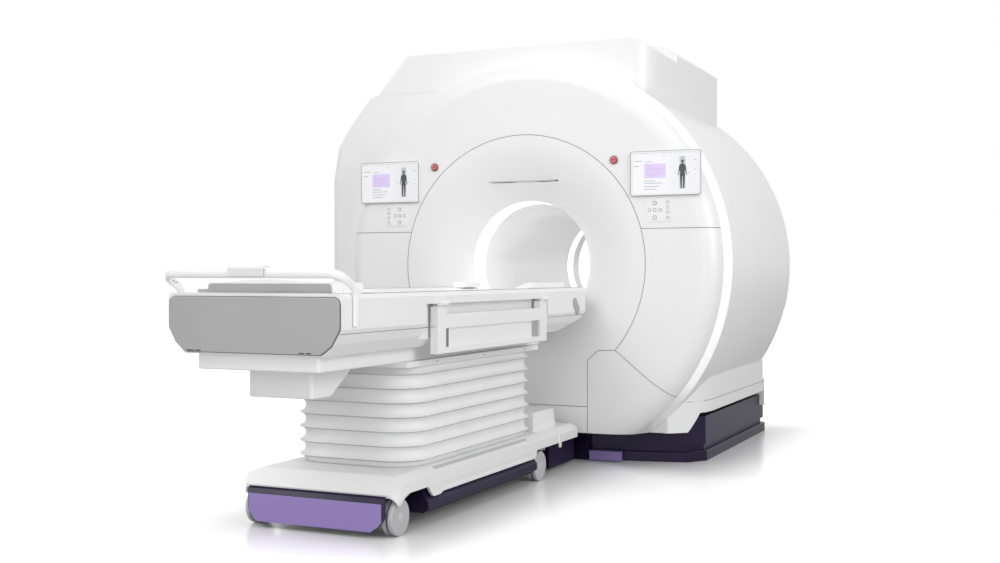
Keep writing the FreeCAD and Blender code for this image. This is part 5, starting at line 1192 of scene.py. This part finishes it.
def floor_paint():
    """White painted floor, with a soft painted shadow beside the footprints of the table and of the
    enclosure.
    """
    material, tree, shader = new_finish("studio floor paint", "#F8F8F8", 0.22)
    seen = add_node(tree, "ShaderNodeLightPath").outputs["Is Camera Ray"]
    # The camera sees the floor white; to everything else it is grey, so that undersides stay shaded.
    tint = add_node(tree, "ShaderNodeMix",
                    {"Factor": seen, 6: opaque("#B8B8B8"), 7: opaque("#F8F8F8")},
                    data_type="RGBA").outputs[2]
    place = add_node(tree, "ShaderNodeTexCoord").outputs["Object"]
    table = gap_to_box(tree, place, (0.0, -2.0, 0.0), (0.37, 1.03, 9.0))
    enclosure = gap_to_box(tree, place, (-0.18, 0.14, 0.0), (1.12, 0.90, 9.0))
    gap = add_node(tree, "ShaderNodeMath", {0: table, 1: enclosure}, operation="MINIMUM").outputs["Value"]
    # The floor's own light rises with the distance: in the first half metre, then slowly up to four metres;
    # its dimness near the footprints is a painted shadow.
    painted_shadow_lift = add_node(tree, "ShaderNodeMapRange",
                    {"Value": gap, "From Max": 0.5, "To Min": 0.02, "To Max": 0.30},
                    interpolation_type="SMOOTHSTEP").outputs["Result"]
    far = add_node(tree, "ShaderNodeMapRange",
                   {"Value": gap, "From Min": 0.5, "From Max": 4.0, "To Max": 0.5}).outputs["Result"]
    glow = add_node(tree, "ShaderNodeMath", {0: painted_shadow_lift, 1: far}, operation="ADD").outputs["Value"]
    light = add_node(tree, "ShaderNodeMath", {0: seen, 1: glow}, operation="MULTIPLY").outputs["Value"]
    feed(tree, shader, {"Base Color": tint, "Emission Color": WHITE, "Emission Strength": light})
    return material


class SCANNER_OT_stage(bpy.types.Operator):
    """White floor, soft lamps, plain sky and the camera"""
    bl_idname = "scanner.stage"
    bl_label = "Stage"

    def execute(self, context):
        scene = context.scene
        scene.view_settings.view_transform = "Standard"
        scene.world = studio_sky()

        bm = bmesh.new()
        bmesh.ops.create_grid(bm, x_segments=2, y_segments=2, size=30.0)
        mesh = bpy.data.meshes.new("floor")
        bm.to_mesh(mesh)
        bm.free()
        mesh.materials.append(floor_paint())
        put("floor", mesh, (0.0, 0.0, 0.0))

        # Square lamps: (name, place, target, width in metres, power in watts).
        lamps = (("soft key", (-2.5, -6.5, 6.0), (0.0, -0.8, 1.0), 4.5, 172),
                 ("soft top", (0.5, -1.5, 7.0), (0.0, -1.2, 0.0), 5.0, 66),
                 ("soft right", (6.0, -3.8, 3.0), (0.3, -1.0, 1.0), 3.5, 150),
                 ("soft front", (1.0, -6.4, 1.2), (0.0, -3.4, 0.5), 2.0, 26))
        for name, place, target, width, power in lamps:
            light = bpy.data.lights.new(name, "AREA")
            light.shape = "SQUARE"
            light.size = width
            light.energy = power
            put(name, light, place, Vector(target) - Vector(place))

        # The lamps of the light rings also light the bore between them.
        for y in (-0.42, 0.08, 0.58):
            glow = bpy.data.lights.new("bore glow", "POINT")
            glow.energy = 0.8
            glow.shadow_soft_size = 0.12
            lit = put("bore glow", glow, (0.06, y, 1.15))
            lit.visible_camera = False
            lit.visible_glossy = False

        camera = bpy.data.cameras.new("camera")
        camera.sensor_width = 36.0
        camera.lens = 44.1
        camera.clip_end = 100.0
        yaw, pitch = math.radians(24.65), math.radians(-0.36)
        ahead = Vector((-math.sin(yaw) * math.cos(pitch), math.cos(yaw) * math.cos(pitch), math.sin(pitch)))
        scene.camera = put("camera", camera, (2.751, -7.212, 1.049), ahead)
        return {"FINISHED"}


class SCANNER_PT_panel(bpy.types.Panel):
    """The scanner's pieces, sizes and colours"""
    bl_idname = "SCANNER_PT_panel"
    bl_label = "Scanner"
    bl_space_type = "VIEW_3D"
    bl_region_type = "UI"
    bl_category = "Scanner"

    def draw(self, context):
        for operator in OPERATORS:
            self.layout.operator(operator.bl_idname)
        for group, owner in ((context.scene.scanner_sizes, ScannerSizes),
                             (context.scene.scanner_colours, ScannerColours)):
            for name in owner.__annotations__:
                self.layout.prop(group, name)


OPERATORS = (
    SCANNER_OT_stage,
    SCANNER_OT_gantry_finishes,
    SCANNER_OT_cover_joints,
    SCANNER_OT_front_fittings,
    SCANNER_OT_cover_closings,
    SCANNER_OT_displays,
    SCANNER_OT_keypads,
    SCANNER_OT_stop_collars,
    SCANNER_OT_table_finishes,
    SCANNER_OT_bellows,
    SCANNER_OT_casters,
    SCANNER_OT_wheel_arches,
    SCANNER_OT_push_handle,
    SCANNER_OT_end_panel,
    SCANNER_OT_base_fittings,
    SCANNER_OT_top_fittings,
)
CLASSES = (ScannerColours, ScannerSizes) + OPERATORS + (SCANNER_PT_panel,)


def register():
    for cls in CLASSES:
        bpy.utils.register_class(cls)
    bpy.types.Scene.scanner_colours = PointerProperty(type=ScannerColours)
    bpy.types.Scene.scanner_sizes = PointerProperty(type=ScannerSizes)


def unregister():
    del bpy.types.Scene.scanner_sizes
    del bpy.types.Scene.scanner_colours
    for cls in reversed(CLASSES):
        bpy.utils.unregister_class(cls)


def main():
    register()
    for operator in OPERATORS:
        group, name = operator.bl_idname.split(".")
        getattr(getattr(bpy.ops, group), name)()


if __name__ == "__main__":
    main()
